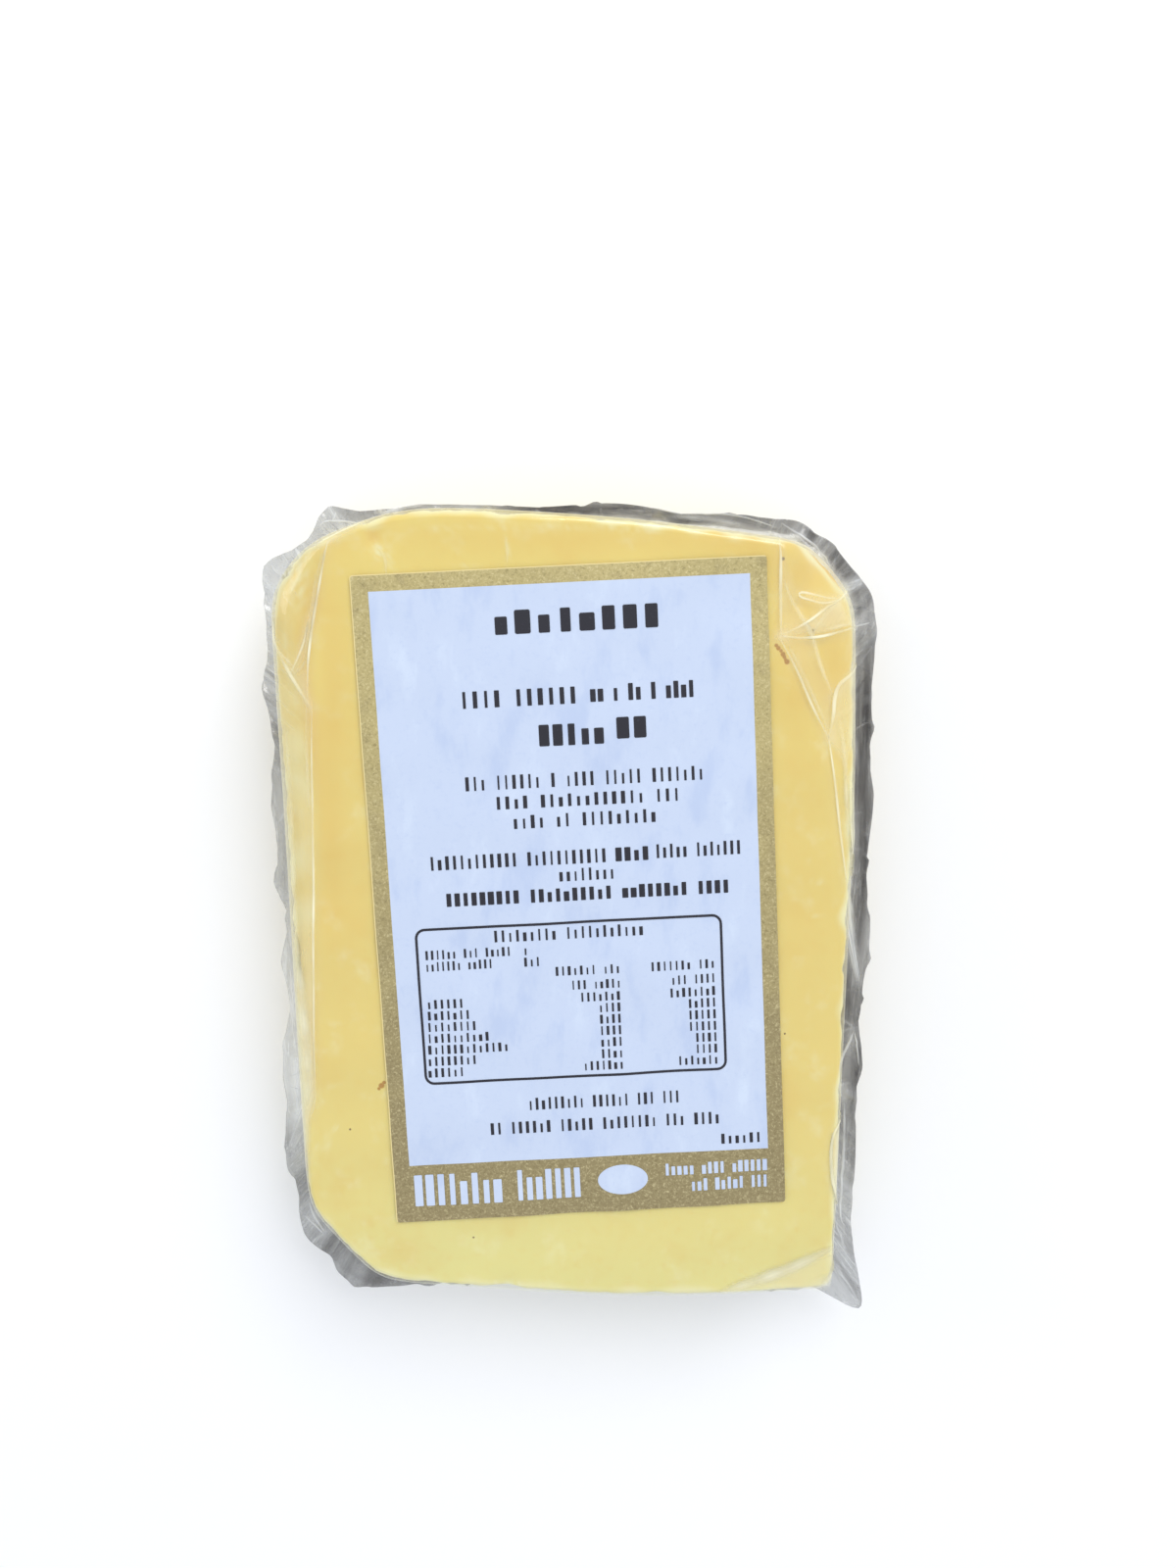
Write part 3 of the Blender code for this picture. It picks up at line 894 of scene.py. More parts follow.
def fold_loops(angle, s, width, height, milk, seed, soft):
    """Loops of a fold along (angle, s): an oval of width and height in mm that rests on the film.

    Both shrink towards the ends as sin(pi t) ** FOLD_TAPER. The haze that is returned beside the loops
    is highest on the crest of a narrow fold and falls to nothing at its sides, which gives it a
    soft edge. A wide fold lies flat, clearer in the middle and milky along both borders. A soft
    one fades evenly from its middle, as (1 - (2 x / width) ** 2) ** 2 at distance x.
    """
    centre = film_point(angle, s)
    normal = film_normal(angle, s)
    along = np.gradient(centre, axis=0)
    side = np.cross(along, normal)
    side /= np.linalg.norm(side, axis=-1, keepdims=True)
    taper = np.sin(math.pi * np.linspace(0.02, 0.98, len(angle))) ** FOLD_TAPER
    turn = 2.0 * math.pi * np.arange(FOLD_SIDES) / FOLD_SIDES
    across = 0.5 * width * taper[:, None] * np.cos(turn)
    over = np.clip(np.sin(turn), 0.0, 1.0)
    bulge = over ** 2 if soft else 0.5 * np.sin(turn) + 0.5
    up = height * taper[:, None] * bulge + FOLD_LIFT
    loops = centre[:, None, :] + across[..., None] * side[:, None, :] + up[..., None] * normal[:, None, :]
    uneven = 1.0 - FOLD_UNEVEN + FOLD_UNEVEN * ripple(centre[:, 0], centre[:, 1], 6.0, seed)
    lying = smooth_step(width, *LYING_WIDTHS)
    border = (2.0 * over * np.abs(np.cos(turn))) ** 2
    profile = (1.0 - lying) * over + lying * (0.4 * over ** 0.5 + 0.6 * border)
    haze = milk * (uneven * taper)[:, None] * (over ** 4 if soft else profile)
    return loops, haze


# %% [markdown]
# The folds that matter to the look are placed one by one, each with its width, height and
# milkiness. Where the film is only creased, a broader and thinner strip fades evenly to both
# sides. The fine folds that radiate from the corners over the skirt are many and alike, so a
# fixed random draw places them.

# %% Folds of this bag
FOLDS = {
    "left ridge": (((-33.7, 57), (-34.8, 56), (-35.9, 51.2), (-36.8, 46.8), (-37.6, 42.5),
        (-38.1, 38.6), (-38.3, 33.8)), 0.5, 0.18, 0.85),
    "left ridge, lower part": (((-37.7, 32.6), (-38, 24), (-38.1, 12), (-38.5, -2), (-38.9, -18),
        (-39, -27.7), (-39.9, -31.3)), 0.45, 0.16, 0.85),
    "left edge": (((-43, 47.8), (-43.4, 43), (-42.4, 40.3), (-40.7, 37.2), (-39.1, 34.4),
        (-37.9, 32.4)), 0.7, 0.18, 0.85),
    "left fork": (((-37.9, 45), (-38.8, 41.5), (-40.7, 37.3)), 0.42, 0.16, 0.75),
    "corner ridge": (((31, 57), (31.3, 54.6), (31.4, 50), (31.5, 47), (31.6, 43)), 0.56, 0.16, 0.9),
    "corner loop": (((40.7, 48.4), (38.7, 48.5), (36.5, 48.95), (34.8, 49.25), (34.2, 49),
        (34.6, 48.55), (35.9, 48.15), (37.8, 47.7), (39.5, 47.9), (40.9, 48.4)), 0.45, 0.14, 0.85),
    "corner fan, upper": (((42.8, 50), (40.8, 48.3), (38.4, 46.9), (35.5, 44.9), (31.7, 43)),
        0.5, 0.16, 0.85),
    "corner fan, lower": (((31.7, 42.9), (34.5, 42.6), (37.6, 42.8), (41, 43.6), (43.4, 44.2)),
        0.5, 0.16, 0.85),
    "corner fold, long": (((31.4, 42.6), (33.9, 38.1), (36.6, 32.3), (39.1, 27.7)), 0.5, 0.16, 0.85),
    "corner hook": (((44.3, 39), (42.7, 37.2), (40.6, 35.6), (39.9, 33.6), (39.7, 31.1), (39.1, 27.9)),
        0.75, 0.2, 0.95),
    "corner tail": (((39, 28.2), (40.2, 20.9), (41.2, 13.4), (42.3, 6)), 0.45, 0.16, 0.85),
    "upper left outline": (((-36.7, 55.9), (-33, 57.8), (-29.6, 59.3)), 0.4, 0.16, 0.75),
    "skirt, upper left line": (((-38.4, 59.8), (-37.6, 60.5), (-35.1, 60.6), (-31.9, 60.3)),
        0.4, 0.18, 0.8),
    "skirt, upper left streak": (((-42.4, 56.5), (-41.8, 55.5), (-41.3, 54.3)), 0.72, 0.15, 0.75),
    "skirt, upper left streak, twin": (((-43.2, 55.8), (-42.4, 54.6), (-41.9, 53.4)), 0.32, 0.15, 0.6),
    "skirt, upper left point": (((-35.8, 62.2), (-36.2, 61.2), (-36.6, 60.4)), 0.32, 0.12, 0.6),
    "skirt, upper end": (((-31, 60.6), (-26.9, 62.4), (-22, 63.2)), 0.72, 0.18, 0.55),
    "skirt, upper right": (((33.3, 60.2), (35.8, 58.6), (38.5, 56.8), (39.9, 55.3), (41.3, 53.5)),
        0.48, 0.18, 0.75),
    "skirt, upper right end": (((12, 62.6), (20, 62), (27, 61.2), (33, 59.4)), 0.4, 0.15, 0.6),
    "skirt, right facet": (((43.2, 50.2), (45, 50.9), (46.4, 51.5)), 1.6, 0.12, 0.8),
    "skirt, right line": (((44.6, 44.2), (45.9, 44.5), (47.6, 44.9)), 0.36, 0.15, 0.8),
    "right side, band": (((42.6, 22), (43.4, 10), (44.9, 2.5), (45.4, -3), (46.2, -7.5), (47.5, -13.3)),
        1.5, 0.18, 0.9),
    "right side, band's edge": (((43.8, 8), (44.8, 1.3), (45.2, -2.9), (46.3, -8.1), (47.5, -13.3)),
        0.4, 0.2, 0.95),
    "right side, curl": (((47.3, -21.6), (46.3, -24.4), (45.4, -26.7), (45, -29.5), (45.2, -31.8),
        (45.7, -33.6)), 0.6, 0.24, 1),
    "right side, curl's tip": (((47.3, -22), (47.9, -25), (48.3, -28)), 0.32, 0.18, 0.8),
    "right side, upright": (((46.1, -34), (46.3, -40.9), (46.2, -47.8), (46.1, -54.6), (46.9, -56.6)),
        0.55, 0.18, 0.9),
    "right side, loop": (((45.6, -33.2), (43.6, -31.4), (42.4, -32.4), (41.4, -34.6), (41.1, -37.6),
        (41.5, -42), (42.6, -46.5), (44, -49.7), (44.5, -53), (45.5, -56.5), (46.4, -58.9)),
        0.6, 0.2, 1),
    "skirt, ear": (((46, -57), (46.6, -60), (47.6, -63)), 0.56, 0.18, 0.35),
    "skirt, left flap": (((-42.6, -33), (-44.2, -37.6), (-46, -41.6)), 1.8, 0.15, 0.8),
    "skirt, left edge": (((-44.2, -25), (-43.8, -30), (-44.6, -35.5)), 1, 0.15, 0.7),
    "skirt, lower left": (((-43.2, -50.4), (-42.4, -53), (-40.8, -56)), 0.48, 0.18, 0.8),
    "skirt, lower left fork": (((-44.3, -52.6), (-42.6, -54.4), (-40.9, -56.4)), 0.4, 0.18, 0.8),
    "skirt, lower left tip": (((-34, -59.6), (-32.6, -61.2), (-31.2, -62.4)), 1.2, 0.15, 0.6),
}
# Soft milky bands, where the film is creased but not folded: path, width in mm and milkiness.
BANDS = {
    "right side": (((43.6, 14), (44.6, 6), (45.3, 1), (45.8, -4), (46.5, -9), (47.5, -13.3)), 2.4, 0.8),
    "right side, low": (((45.2, -36), (45, -42), (45.2, -50), (45.6, -56)), 1.4, 0.25),
    "lower right crease": (((42.2, -53), (36, -56.1), (30, -58.5), (24, -60.5)), 3, 0.8),
    "lower right corner": (((42.6, -55), (41.8, -58), (38, -60)), 3.4, 0.5),
    "left wedge": (((-41.6, -2), (-40.7, -12), (-40.1, -22), (-40.3, -30)), 2.8, 0.85),
    "left side": (((-44, 12), (-43.8, 0), (-43.6, -14), (-43.4, -26)), 1.6, 0.6),
    "upper left": (((-42, 50.5), (-39.5, 53.5), (-36, 56.4)), 2.6, 0.28),
    "upper end": (((12, 61.6), (22, 60.8), (31, 59), (34.5, 57.4)), 1.2, 0.4),
    "left ridge, twin": (((-35.2, 55.3), (-36.5, 51.2), (-37.3, 46.8), (-38.1, 42.5), (-38.6, 39.4)),
        0.8, 0.3),
    "left ridge, lower twin": (((-38.5, 33), (-38.7, 26), (-38.6, 17)), 0.7, 0.3),
    "left fork, outer": (((-38.3, 39.6), (-39, 38.4), (-40.6, 37.1)), 0.8, 0.3),
    "left slope": (((-41.8, 29), (-41.6, 17.9), (-41.5, 5.8), (-41.2, -3.2), (-40.9, -10.8)),
        1.4, 0.35),
    "corner fan, middle": (((41, 48), (38.6, 46.3), (37.3, 44.6), (36.4, 43.6)), 1, 0.3),
    "corner fan, lower twin": (((35.6, 44.6), (36.5, 43.6), (38.5, 43.8), (41, 44.4), (43.2, 44.8)),
        1, 0.6),
    "corner fold, inner": (((31.9, 51), (33.2, 48), (35.2, 44.9), (36.3, 42.7), (37.7, 38.4),
        (39.6, 34.2)), 1.1, 0.42),
    "corner fold, twin": (((32.8, 41.4), (34.9, 37.4), (37.4, 32.3), (39, 29)), 1, 0.3),
    "corner tail, outer": (((40.8, 30.4), (41.5, 26), (41.9, 20), (42.4, 13)), 1.2, 0.5),
    "lower right edge": (((41.2, -34), (41.6, -40.5), (42.2, -47), (42.5, -52.2)), 1, 0.3),
    "upper end, left": (((-28.1, 56.4), (-26.6, 54.5), (-26.3, 51.4)), 0.7, 0.25),
    "upper end, middle": (((-8.8, 57.4), (-8.6, 53.4)), 0.6, 0.2),
}
BAND_HEIGHT = 0.06
FINE_FOLDS = 110
FINE_FOLD_WIDTH = (0.25, 0.7)
FINE_FOLD_MILK = (0.12, 0.5)
FINE_FOLD_HEIGHT = 0.15
FINE_FOLDS_AT_CORNERS = 0.7
FINE_FOLDS_BELOW = 0.4


def looseness(s):
    """1 on the skirt, 0 on the slab's walls and faces."""
    return smooth_step(mirrored(s), 3.3, 4.2)


def fine_fold_stations(chance):
    """(angle, s) along one fine fold from the wall out over the skirt, or the same below it."""
    corner = chance.choice(CORNER_DIRECTIONS)
    at_corner = chance.random() < FINE_FOLDS_AT_CORNERS
    direction = chance.normal(corner, CORNER_SPREAD) if at_corner else chance.uniform(0, 360)
    s = np.linspace(chance.uniform(2.0, 3.2), chance.uniform(4.3, 4.95), 20)
    lean = math.radians(chance.normal(0.0, 1.6))
    angle = math.radians(direction) + lean * (s - s[0]) + 0.004 * np.sin(3.0 * s)
    if chance.random() < FINE_FOLDS_BELOW:
        s = LAST_STATION - s
    return angle % (2.0 * math.pi), s


def make_folds():
    """All the folds as one piece."""
    placed = [(*fold, False) for fold in FOLDS.values()]
    placed += [(path, width, BAND_HEIGHT, milk, True) for path, width, milk in BANDS.values()]
    shapes = []
    for seed, (path, *shape, soft) in enumerate(placed):
        places = smooth_path(path, FOLD_STEP)
        shapes.append((*stations_at(places[:, 0], places[:, 1]), *shape, seed, soft))
    chance = np.random.default_rng(77)
    for _ in range(FINE_FOLDS):
        angle, s = fine_fold_stations(chance)
        width, milk = chance.uniform(*FINE_FOLD_WIDTH), chance.uniform(*FINE_FOLD_MILK)
        shapes.append((angle, s, width, FINE_FOLD_HEIGHT, milk, 5, False))
    stacks, haze = zip(*(fold_loops(*shape) for shape in shapes))
    loose = [looseness(s)[:, None] for _, s, *_ in shapes]
    return closed_loops("film_folds", stacks, fold_finish, {"haze": haze, "skirt": loose})


folds = make_folds()

# %% [markdown]
# ## The bag
#
# The bag is one closed surface through all the stations of the profile. Its haze is worked out
# from the gap between the film and the cheese below it, from the pleats, and from soft streaks
# that run outwards, as they do where film is stretched over an edge. For finer streaks each point
# also stores its root, the place on the wall in the same direction, and how far out it lies.
# Noise that reads mainly the root hardly changes on the way out, so it draws lines that run
# outwards, as at the gathered corners. Noise that reads mainly the way out draws lines along the
# outline, as on the straight sides.

# %% Shape of the bag
# A web is a convex patch of film that stands off the cheese: its corners (x, y) in mm from the
# slab's middle, clockwise or not, and its milkiness.
WEBS = {
    "corner triangle": (((31.4, 56), (35.3, 45.2), (31.7, 42.9)), 0.14),
    "corner band": (((35.5, 45), (40.7, 48.4), (43, 44.9), (36.6, 43.5)), 0.3),
    "corner band's tip": (((31.7, 42.9), (35.5, 45), (36.6, 43.4)), 0.24),
    "corner loop": (((34.2, 49.1), (36.5, 48.9), (40.7, 48.4), (37.8, 47.7), (35.9, 48.2)), 0.2),
    "below the band": (((31.8, 42.7), (36.2, 42.7), (40, 34.8), (38.9, 28.9)), 0.12),
    "hook": (((43.4, 39.3), (43.7, 29.6), (42, 22.6), (39.4, 27.4), (40, 34)), 0.22),
    "left fork": (((-37.1, 48.1), (-38, 42.5), (-39, 38.5), (-40.7, 37.2), (-39.2, 42)), 0.16),
    "left triangle": (((-40.7, 37), (-38.2, 38.1), (-38, 32.3)), 0.16),
    "lower right": (((42.4, -52.3), (42.6, -60), (24.6, -60.4), (28.5, -58.9)), 0.3),
    "upper left outline": (((-36.7, 55.9), (-29.9, 59.6), (-29.4, 59.3), (-34.9, 56)), 0.32),
    "right loop": (((42.9, -32.6), (43.9, -38), (43.9, -46.9), (41.8, -43.4), (41.3, -37.6),
        (41.7, -34.6)), 0.55),
    "skirt, left": (((-45.1, -25.5), (-41.1, -25.5), (-41.7, -31.9), (-44.9, -36.5)), 0.4),
    "skirt, right facet": (((42.5, 51.4), (46, 52.1), (46.3, 50.6), (43.7, 49.5)), 0.3),
}
# Milkiness of the loose film between the left ridge and the wall, by y in mm.
LEFT_STRIP = ((-42.0, 0.0), (-36.0, 0.3), (-30.0, 0.5), (-20.0, 0.42), (-8.0, 0.24), (4.0, 0.12),
              (30.0, 0.1), (36.0, 0.05), (50.0, 0.03), (56.0, 0.0))
WEB_SOFTNESS = 1.3
# Painted shade: how grey the skirt is, 0 to 1, in directions in degrees from the slab's middle.
SKIRT_SHADES = (
    (0, 0.85), (14, 0.95), (27, 1), (34, 1), (42, 0.8), (46, 0.7), (51, 0.9),
    (60, 0.9), (68, 0.8), (74, 1), (92, 1), (103, 0.6), (110, 0.85), (117, 0.6),
    (124, 0.35), (137, 0.3), (150, 0.7), (165, 0.5), (180, 0.4), (200, 0.3), (214, 0.3),
    (221, 0.6), (232, 0.5), (239, 0.85), (255, 0.5), (290, 0.4), (304, 0.45), (316, 0.7),
    (322, 0.95), (331, 1), (340, 0.95), (350, 0.8),
)
# Painted shade added to the film over the left strip.
STRIP_SHADE = 0.06
GATHER_SPREAD = 13.0
# Added to the way out on the lower sheet, in mm, so that its streaks differ from the upper one's.
LOWER_SHEET_SHIFT = 20.0
FILM_AROUND = 620
STREAK_COUNT = 90
# Haze of all the film, even and streaked haze on the tented rim, streaked and pleated haze on the
# skirt, and the strength, station and spread of the line at the top of the wall.
FILM_HAZE = 0.01
RIM_HAZE = (0.03, 0.06)
SKIRT_HAZE = (0.05, 0.3)
WALL_TOP_HAZE = (0.12, 2.1, 0.35)
SKIRT_EDGE_HAZE = 0.08
# Crinkles on the tented rim: least, what is added, and its direction and spread in degrees.
RIM_CRINKLED = (0.1, 0.55, 136.0, 12.0)
HALO = 1.0
HALO_SHARE = 0.12


def fold_halo(x, y):
    """Milkiness beside the folds: the sum of share * milk * exp(-(distance / HALO) ** 2).

    x and y are rows of places in mm from the slab's middle.
    """
    total = np.zeros_like(x)
    for path, _, _, milk in FOLDS.values():
        near = np.min([np.hypot(x - a, y - b) for a, b in smooth_path(path, 0.8)], axis=0)
        total += HALO_SHARE * milk * np.exp(-(near / HALO) ** 2)
    return total


def web_haze(x, y):
    """Milkiness of the webs: milk * smooth_step(depth) with depth the least distance to the sides.

    The distance to a side through a in direction d is d x (p - a), above zero inside.
    """
    total = np.zeros_like(x)
    for corners, milk in WEBS.values():
        corners = np.array(corners)
        sides = np.roll(corners, -1, axis=0) - corners
        if np.sum(sides[:, 1] * corners[:, 0] - sides[:, 0] * corners[:, 1]) < 0.0:
            corners = corners[::-1]
            sides = np.roll(corners, -1, axis=0) - corners
        sides = sides / np.linalg.norm(sides, axis=1, keepdims=True)
        depth = np.min([dx * (y - b) - dy * (x - a) for (a, b), (dx, dy) in zip(corners, sides)], axis=0)
        total += milk * smooth_step(depth, -0.5 * WEB_SOFTNESS, 0.5 * WEB_SOFTNESS)
    return total


def left_strip(x, y):
    """1 between the left ridge and the wall, 0 on the face: a soft step at the ridge's path."""
    ridge = np.array(FOLDS["left ridge"][0] + FOLDS["left ridge, lower part"][0])
    ridge = ridge[np.argsort(ridge[:, 1])]
    return smooth_step(np.interp(y, ridge[:, 1], ridge[:, 0]) - x, -0.3, 0.6) * (np.abs(y) < 56.0)


def film_haze(angle, s):
    """Milkiness of the film, 0 to 1: more where it stands off the cheese and on its pleats."""
    part = pack_section(angle)
    tented = smooth_step(part["rim"], 1.5, 6.0)
    over_rim = between(s, 1.0, 1.3, 2.0, 3.0)
    chance = np.random.default_rng(41)
    streaks = np.zeros(np.broadcast(angle, s).shape)
    for middle, half, strength in zip(chance.uniform(0, 2 * math.pi, STREAK_COUNT),
                                      chance.uniform(0.3, 1.1, STREAK_COUNT),
                                      chance.uniform(0.2, 1.0, STREAK_COUNT)):
        away = turn_from(middle, angle + 0.03 * (s - 3.0))
        streaks = streaks + strength * np.exp(-(away * part["wall"] / half) ** 2)
    pleats = np.abs(gathered(angle, part["wall"], upper_pleats))
    beside = smooth_step(mirrored(s), 1.8, 3.0)
    haze = FILM_HAZE + over_rim * tented * (RIM_HAZE[0] + RIM_HAZE[1] * streaks)
    haze = haze + beside * (SKIRT_HAZE[0] * streaks + SKIRT_HAZE[1] * pleats)
    strength, station, spread = WALL_TOP_HAZE
    haze = haze + strength * np.exp(-((s - station) / spread) ** 2)
    return np.clip(haze + SKIRT_EDGE_HAZE * (mirrored(s) > 4.9), 0.0, 0.8)


def make_film():
    """The bag as loops from the middle of the upper face to the middle of the underside."""
    angle = even_angles(FILM_AROUND)[None, :]
    s = stations((0.02, 0.76, 9), (0.76, 1.0, 32), (1.0, 2.0, 30), (2.0, 3.0, 10), (3.0, 4.0, 8),
                 (4.0, 5.0, 14), (5.0, 6.0, 2), (6.0, 7.0, 10), (7.0, 8.0, 5), (8.0, 9.0, 8),
                 (9.0, 10.0, 6), (10.0, 10.98, 8))[:, None]
    loops = film_point(angle, s)
    skirt = np.broadcast_to(looseness(s), loops.shape[:2])
    degrees = np.degrees(angle)
    # shade is painted shade: grey on the skirt by direction, and a little over the left strip.
    shade = skirt * np.interp(degrees, *zip(*SKIRT_SHADES), period=360.0)
    shade[s.ravel() < 3.0] += STRIP_SHADE * left_strip(*places_on(loops[s.ravel() < 3.0]))
    haze = film_haze(angle, s)
    upper = s.ravel() < 5.0
    x, y = places_on(loops[upper])
    haze[upper] += fold_halo(x, y) + web_haze(x, y) + left_strip(x, y) * np.interp(y, *zip(*LEFT_STRIP))
    part = pack_section(angle)
    wall = part["wall"]
    least, more, direction, spread = RIM_CRINKLED
    on_rim = between(s, 1.0, 1.3, 2.0, 3.0) * smooth_step(part["rim"], 1.5, 4.0)
    crinkled = np.maximum(skirt, on_rim * (least + more * np.exp(-((degrees - direction) / spread) ** 2)))
    out = (np.hypot(*places_on(loops)) - wall + LOWER_SHEET_SHIFT * (s > SEAM_STATION)) * MM
    turned = [turn_from(corner, degrees, 360.0) for corner in CORNER_DIRECTIONS]
    gather = np.max([np.exp(-(away / GATHER_SPREAD) ** 2) for away in turned], axis=0) + 0.0 * s
    root = np.stack(np.broadcast_arrays(wall * np.cos(angle), wall * np.sin(angle), 0.0 * s), -1) * MM
    attributes = {"haze": [haze], "skirt": [skirt], "shade": [shade], "crinkled": [crinkled],
                  "gather": [gather], "out": [out], "root": [root]}
    return closed_loops("vacuum_film", [loops], film_finish, attributes)


film = make_film()

# %% [markdown]
# ## The label's paper and print
#
# The label is uncoated thermal or laser paper. Its white is painted slightly blue, the cast of the
# cool daylight on it, and its soft cockles are painted in as faint light and shade. It is
# printed in three inks: a dull gold that is full of fine sparkle, and black. A printed sheet could
# carry an image, but here each printed field is only a region of a grid whose lines are drawn
# where the print begins and ends, so its edges are sharp and each field has its own finish.

# %% Finishes of paper and inks
# Paper painted slightly blue, the cast of cool daylight; cockle shade and light are painted too.
PAPER = "CAD6EA"
PAPER_SHADE = "BFCDE6"
PAPER_LIGHT = "D2DEEF"
# The gold is painted lighter towards the upper end and darker towards the lower end, light from above.
GOLD_LIGHT = "C3B37A"
GOLD_DARK = "9C8D64"
GOLD_GLINT = "EFE2AE"
GOLD_HOLLOW_SHADE = "6E6138"
# Cream of the cut edge, also painted as a highlight along the label's left and upper sides.
CUT_CREAM_AND_HIGHLIGHT = "EBD795"
INK = "1F1E27"
THIN_INK = "4A4B57"


def make_paper_finish():
    """Label paper: blue painted cool light, painted cockle shade and light, flecks and fibre relief."""
    finish, tree = new_finish("label_paper")
    where = add_node(tree, "place")
    drawn_out = add_node(tree, "turn and stretch", where, Scale=(1.0, 0.4, 1.0),
                         Rotation=(0.0, 0.0, math.radians(12.0)))
    cockle_shading = add_node(tree, "noise", drawn_out, blotches(5.0), 4.0, 0.6)
    flecked = add_node(tree, "noise", where, blotches(0.8), 3.0, 0.6)
    colour = PAPER
    # The cockles are painted in as shade and light; the fibre flecks are the paper's own.
    for source, low, high, most, code in ((cockle_shading, 0.5, 0.3, 1.0, PAPER_SHADE),
                                          (cockle_shading, 0.55, 0.75, 1.0, PAPER_LIGHT),
                                          (flecked, 0.5, 0.8, 0.5, PAPER_SHADE)):
        amount = add_node(tree, "soft range", source, low, high, 0.0, most)
        colour = add_node(tree, "mixed colour", amount, colour, code)
    fibre = add_node(tree, "noise", where, blotches(0.35), 4.0, 0.7)
    bump = add_node(tree, "bump", fibre, 0.25, 0.03 * MM)
    add_node(tree, "output", add_node(tree, "solid surface", colour, 0.6, Normal=bump))
    return finish


def make_gold_finish():
    """Dull gold ink: bronze powder in varnish, so a grainy, half metallic sheen.

    The sparkle, painted glints and shaded hollows, is drawn at 0.4 mm, coarser than real bronze
    powder, so that it shows. The gold is painted lighter towards the upper end and darker towards
    the lower end: painted light from above.
    """
    finish, tree = new_finish("dull_gold_ink")
    where = add_node(tree, "place")
    along = add_node(tree, "x, y, z", where).outputs["Y"]
    clouds = add_node(tree, "noise", where, blotches(7.0), 3.0)
    shifted = add_node(tree, "product and sum", clouds, 60.0 * MM, along)
    brushed = add_node(tree, "noise", where, blotches(2.4), 4.0, 0.6)
    sparkle = add_node(tree, "noise", where, blotches(0.4), 3.0, 0.75, Distortion=0.8)
    colour = GOLD_LIGHT
    # First range: painted shade, darker towards the lower end; the sparkle paints glints and shaded hollows.
    for source, low, high, most, code in ((shifted, 75.0 * MM, -5.0 * MM, 1.0, GOLD_DARK),
                                          (brushed, 0.5, 0.75, 0.45, GOLD_DARK),
                                          (sparkle, 0.5, 0.7, 0.5, GOLD_GLINT),
                                          (sparkle, 0.47, 0.3, 0.5, GOLD_HOLLOW_SHADE)):
        amount = add_node(tree, "soft range", source, low, high, 0.0, most)
        colour = add_node(tree, "mixed colour", amount, colour, code)
    bump = add_node(tree, "bump", sparkle, 0.5, 0.06 * MM)
    add_node(tree, "output", add_node(tree, "solid surface", colour, 0.42, Metallic=0.35, Normal=bump))
    return finish


def make_ink_finish():
    """Black printer's ink on paper: nearly black with a blue cast, slightly satin."""
    finish, tree = new_finish("black_ink")
    grain = add_node(tree, "noise", add_node(tree, "place"), blotches(0.5), 3.0)
    thin = add_node(tree, "soft range", grain, 0.6, 0.8, 0.0, 0.35)
    colour = add_node(tree, "mixed colour", thin, INK, THIN_INK)
    add_node(tree, "output", add_node(tree, "solid surface", colour, 0.5))
    return finish


def make_plain_finish(name, code, roughness):
    """One colour all over: the cut edge, where glue and the paper's core show, also a painted highlight, and
    the floor.
    """
    finish, tree = new_finish(name)
    add_node(tree, "output", add_node(tree, "solid surface", code, roughness))
    return finish


paper_finish = make_paper_finish()
gold_finish = make_gold_finish()
cut_finish = make_plain_finish("label_cut_edge", CUT_CREAM_AND_HIGHLIGHT, 0.5)
ink_finish = make_ink_finish()
print("label finishes:", paper_finish.name, gold_finish.name, cut_finish.name, ink_finish.name)

# %% [markdown]
# ## The label sheet
#
# The label is 61 by 100 mm, turned a few degrees on the slab. It follows small waves of the film
# below and has soft cockles of its own, which show as faint shading in its white field. The
# sheet is a grid with uneven lines, given thickness by a second grid below it and a rim of faces.
# Positions on it are (u, v) in mm from its middle, u to the reader's right and v up the label.

# %% Grid of the label
LABEL_WIDTH = 61.0
LABEL_LENGTH = 100.0
LABEL_THICKNESS = 0.14
LABEL_TURN = math.radians(2.8)
LABEL_CORNER = 0.5
WHITE_FIELD = (-27.9, 28.0, -40.9, 47.5)
CUT_EDGE = 0.15
LABEL_LIFT = 0.12
COCKLE_LONG, COCKLE_SHORT = 0.05, 0.008


def label_relief(u, v):
    """Height in mm of the label's cockles: long waves along it and short ones across."""
    return COCKLE_LONG * ripple(u, 0.45 * v, 13.0, 21) + COCKLE_SHORT * ripple(u, v, 5.5, 22)


def label_point(u, v, lift):
    """Place in mm of (u, v) on the label, lift mm above its lower face."""
    x = u * math.cos(LABEL_TURN) - v * math.sin(LABEL_TURN) + label_middle[0]
    y = u * math.sin(LABEL_TURN) + v * math.cos(LABEL_TURN) + label_middle[1]
    below = SLAB_TOP + face_relief(x - SLAB_MIDDLE[0], y - SLAB_MIDDLE[1])
    return np.stack([x, y, below + LABEL_LIFT + label_relief(u, v) + lift], axis=-1)


def grid_lines(breaks, step):
    """Grid lines through all the breaks, with lines between them no further apart than step."""
    breaks = np.unique(np.round(breaks, 4))
    runs = [np.linspace(a, b, max(1, math.ceil((b - a) / step)), endpoint=False)
            for a, b in zip(breaks, breaks[1:])]
    return np.concatenate(runs + [breaks[-1:]])


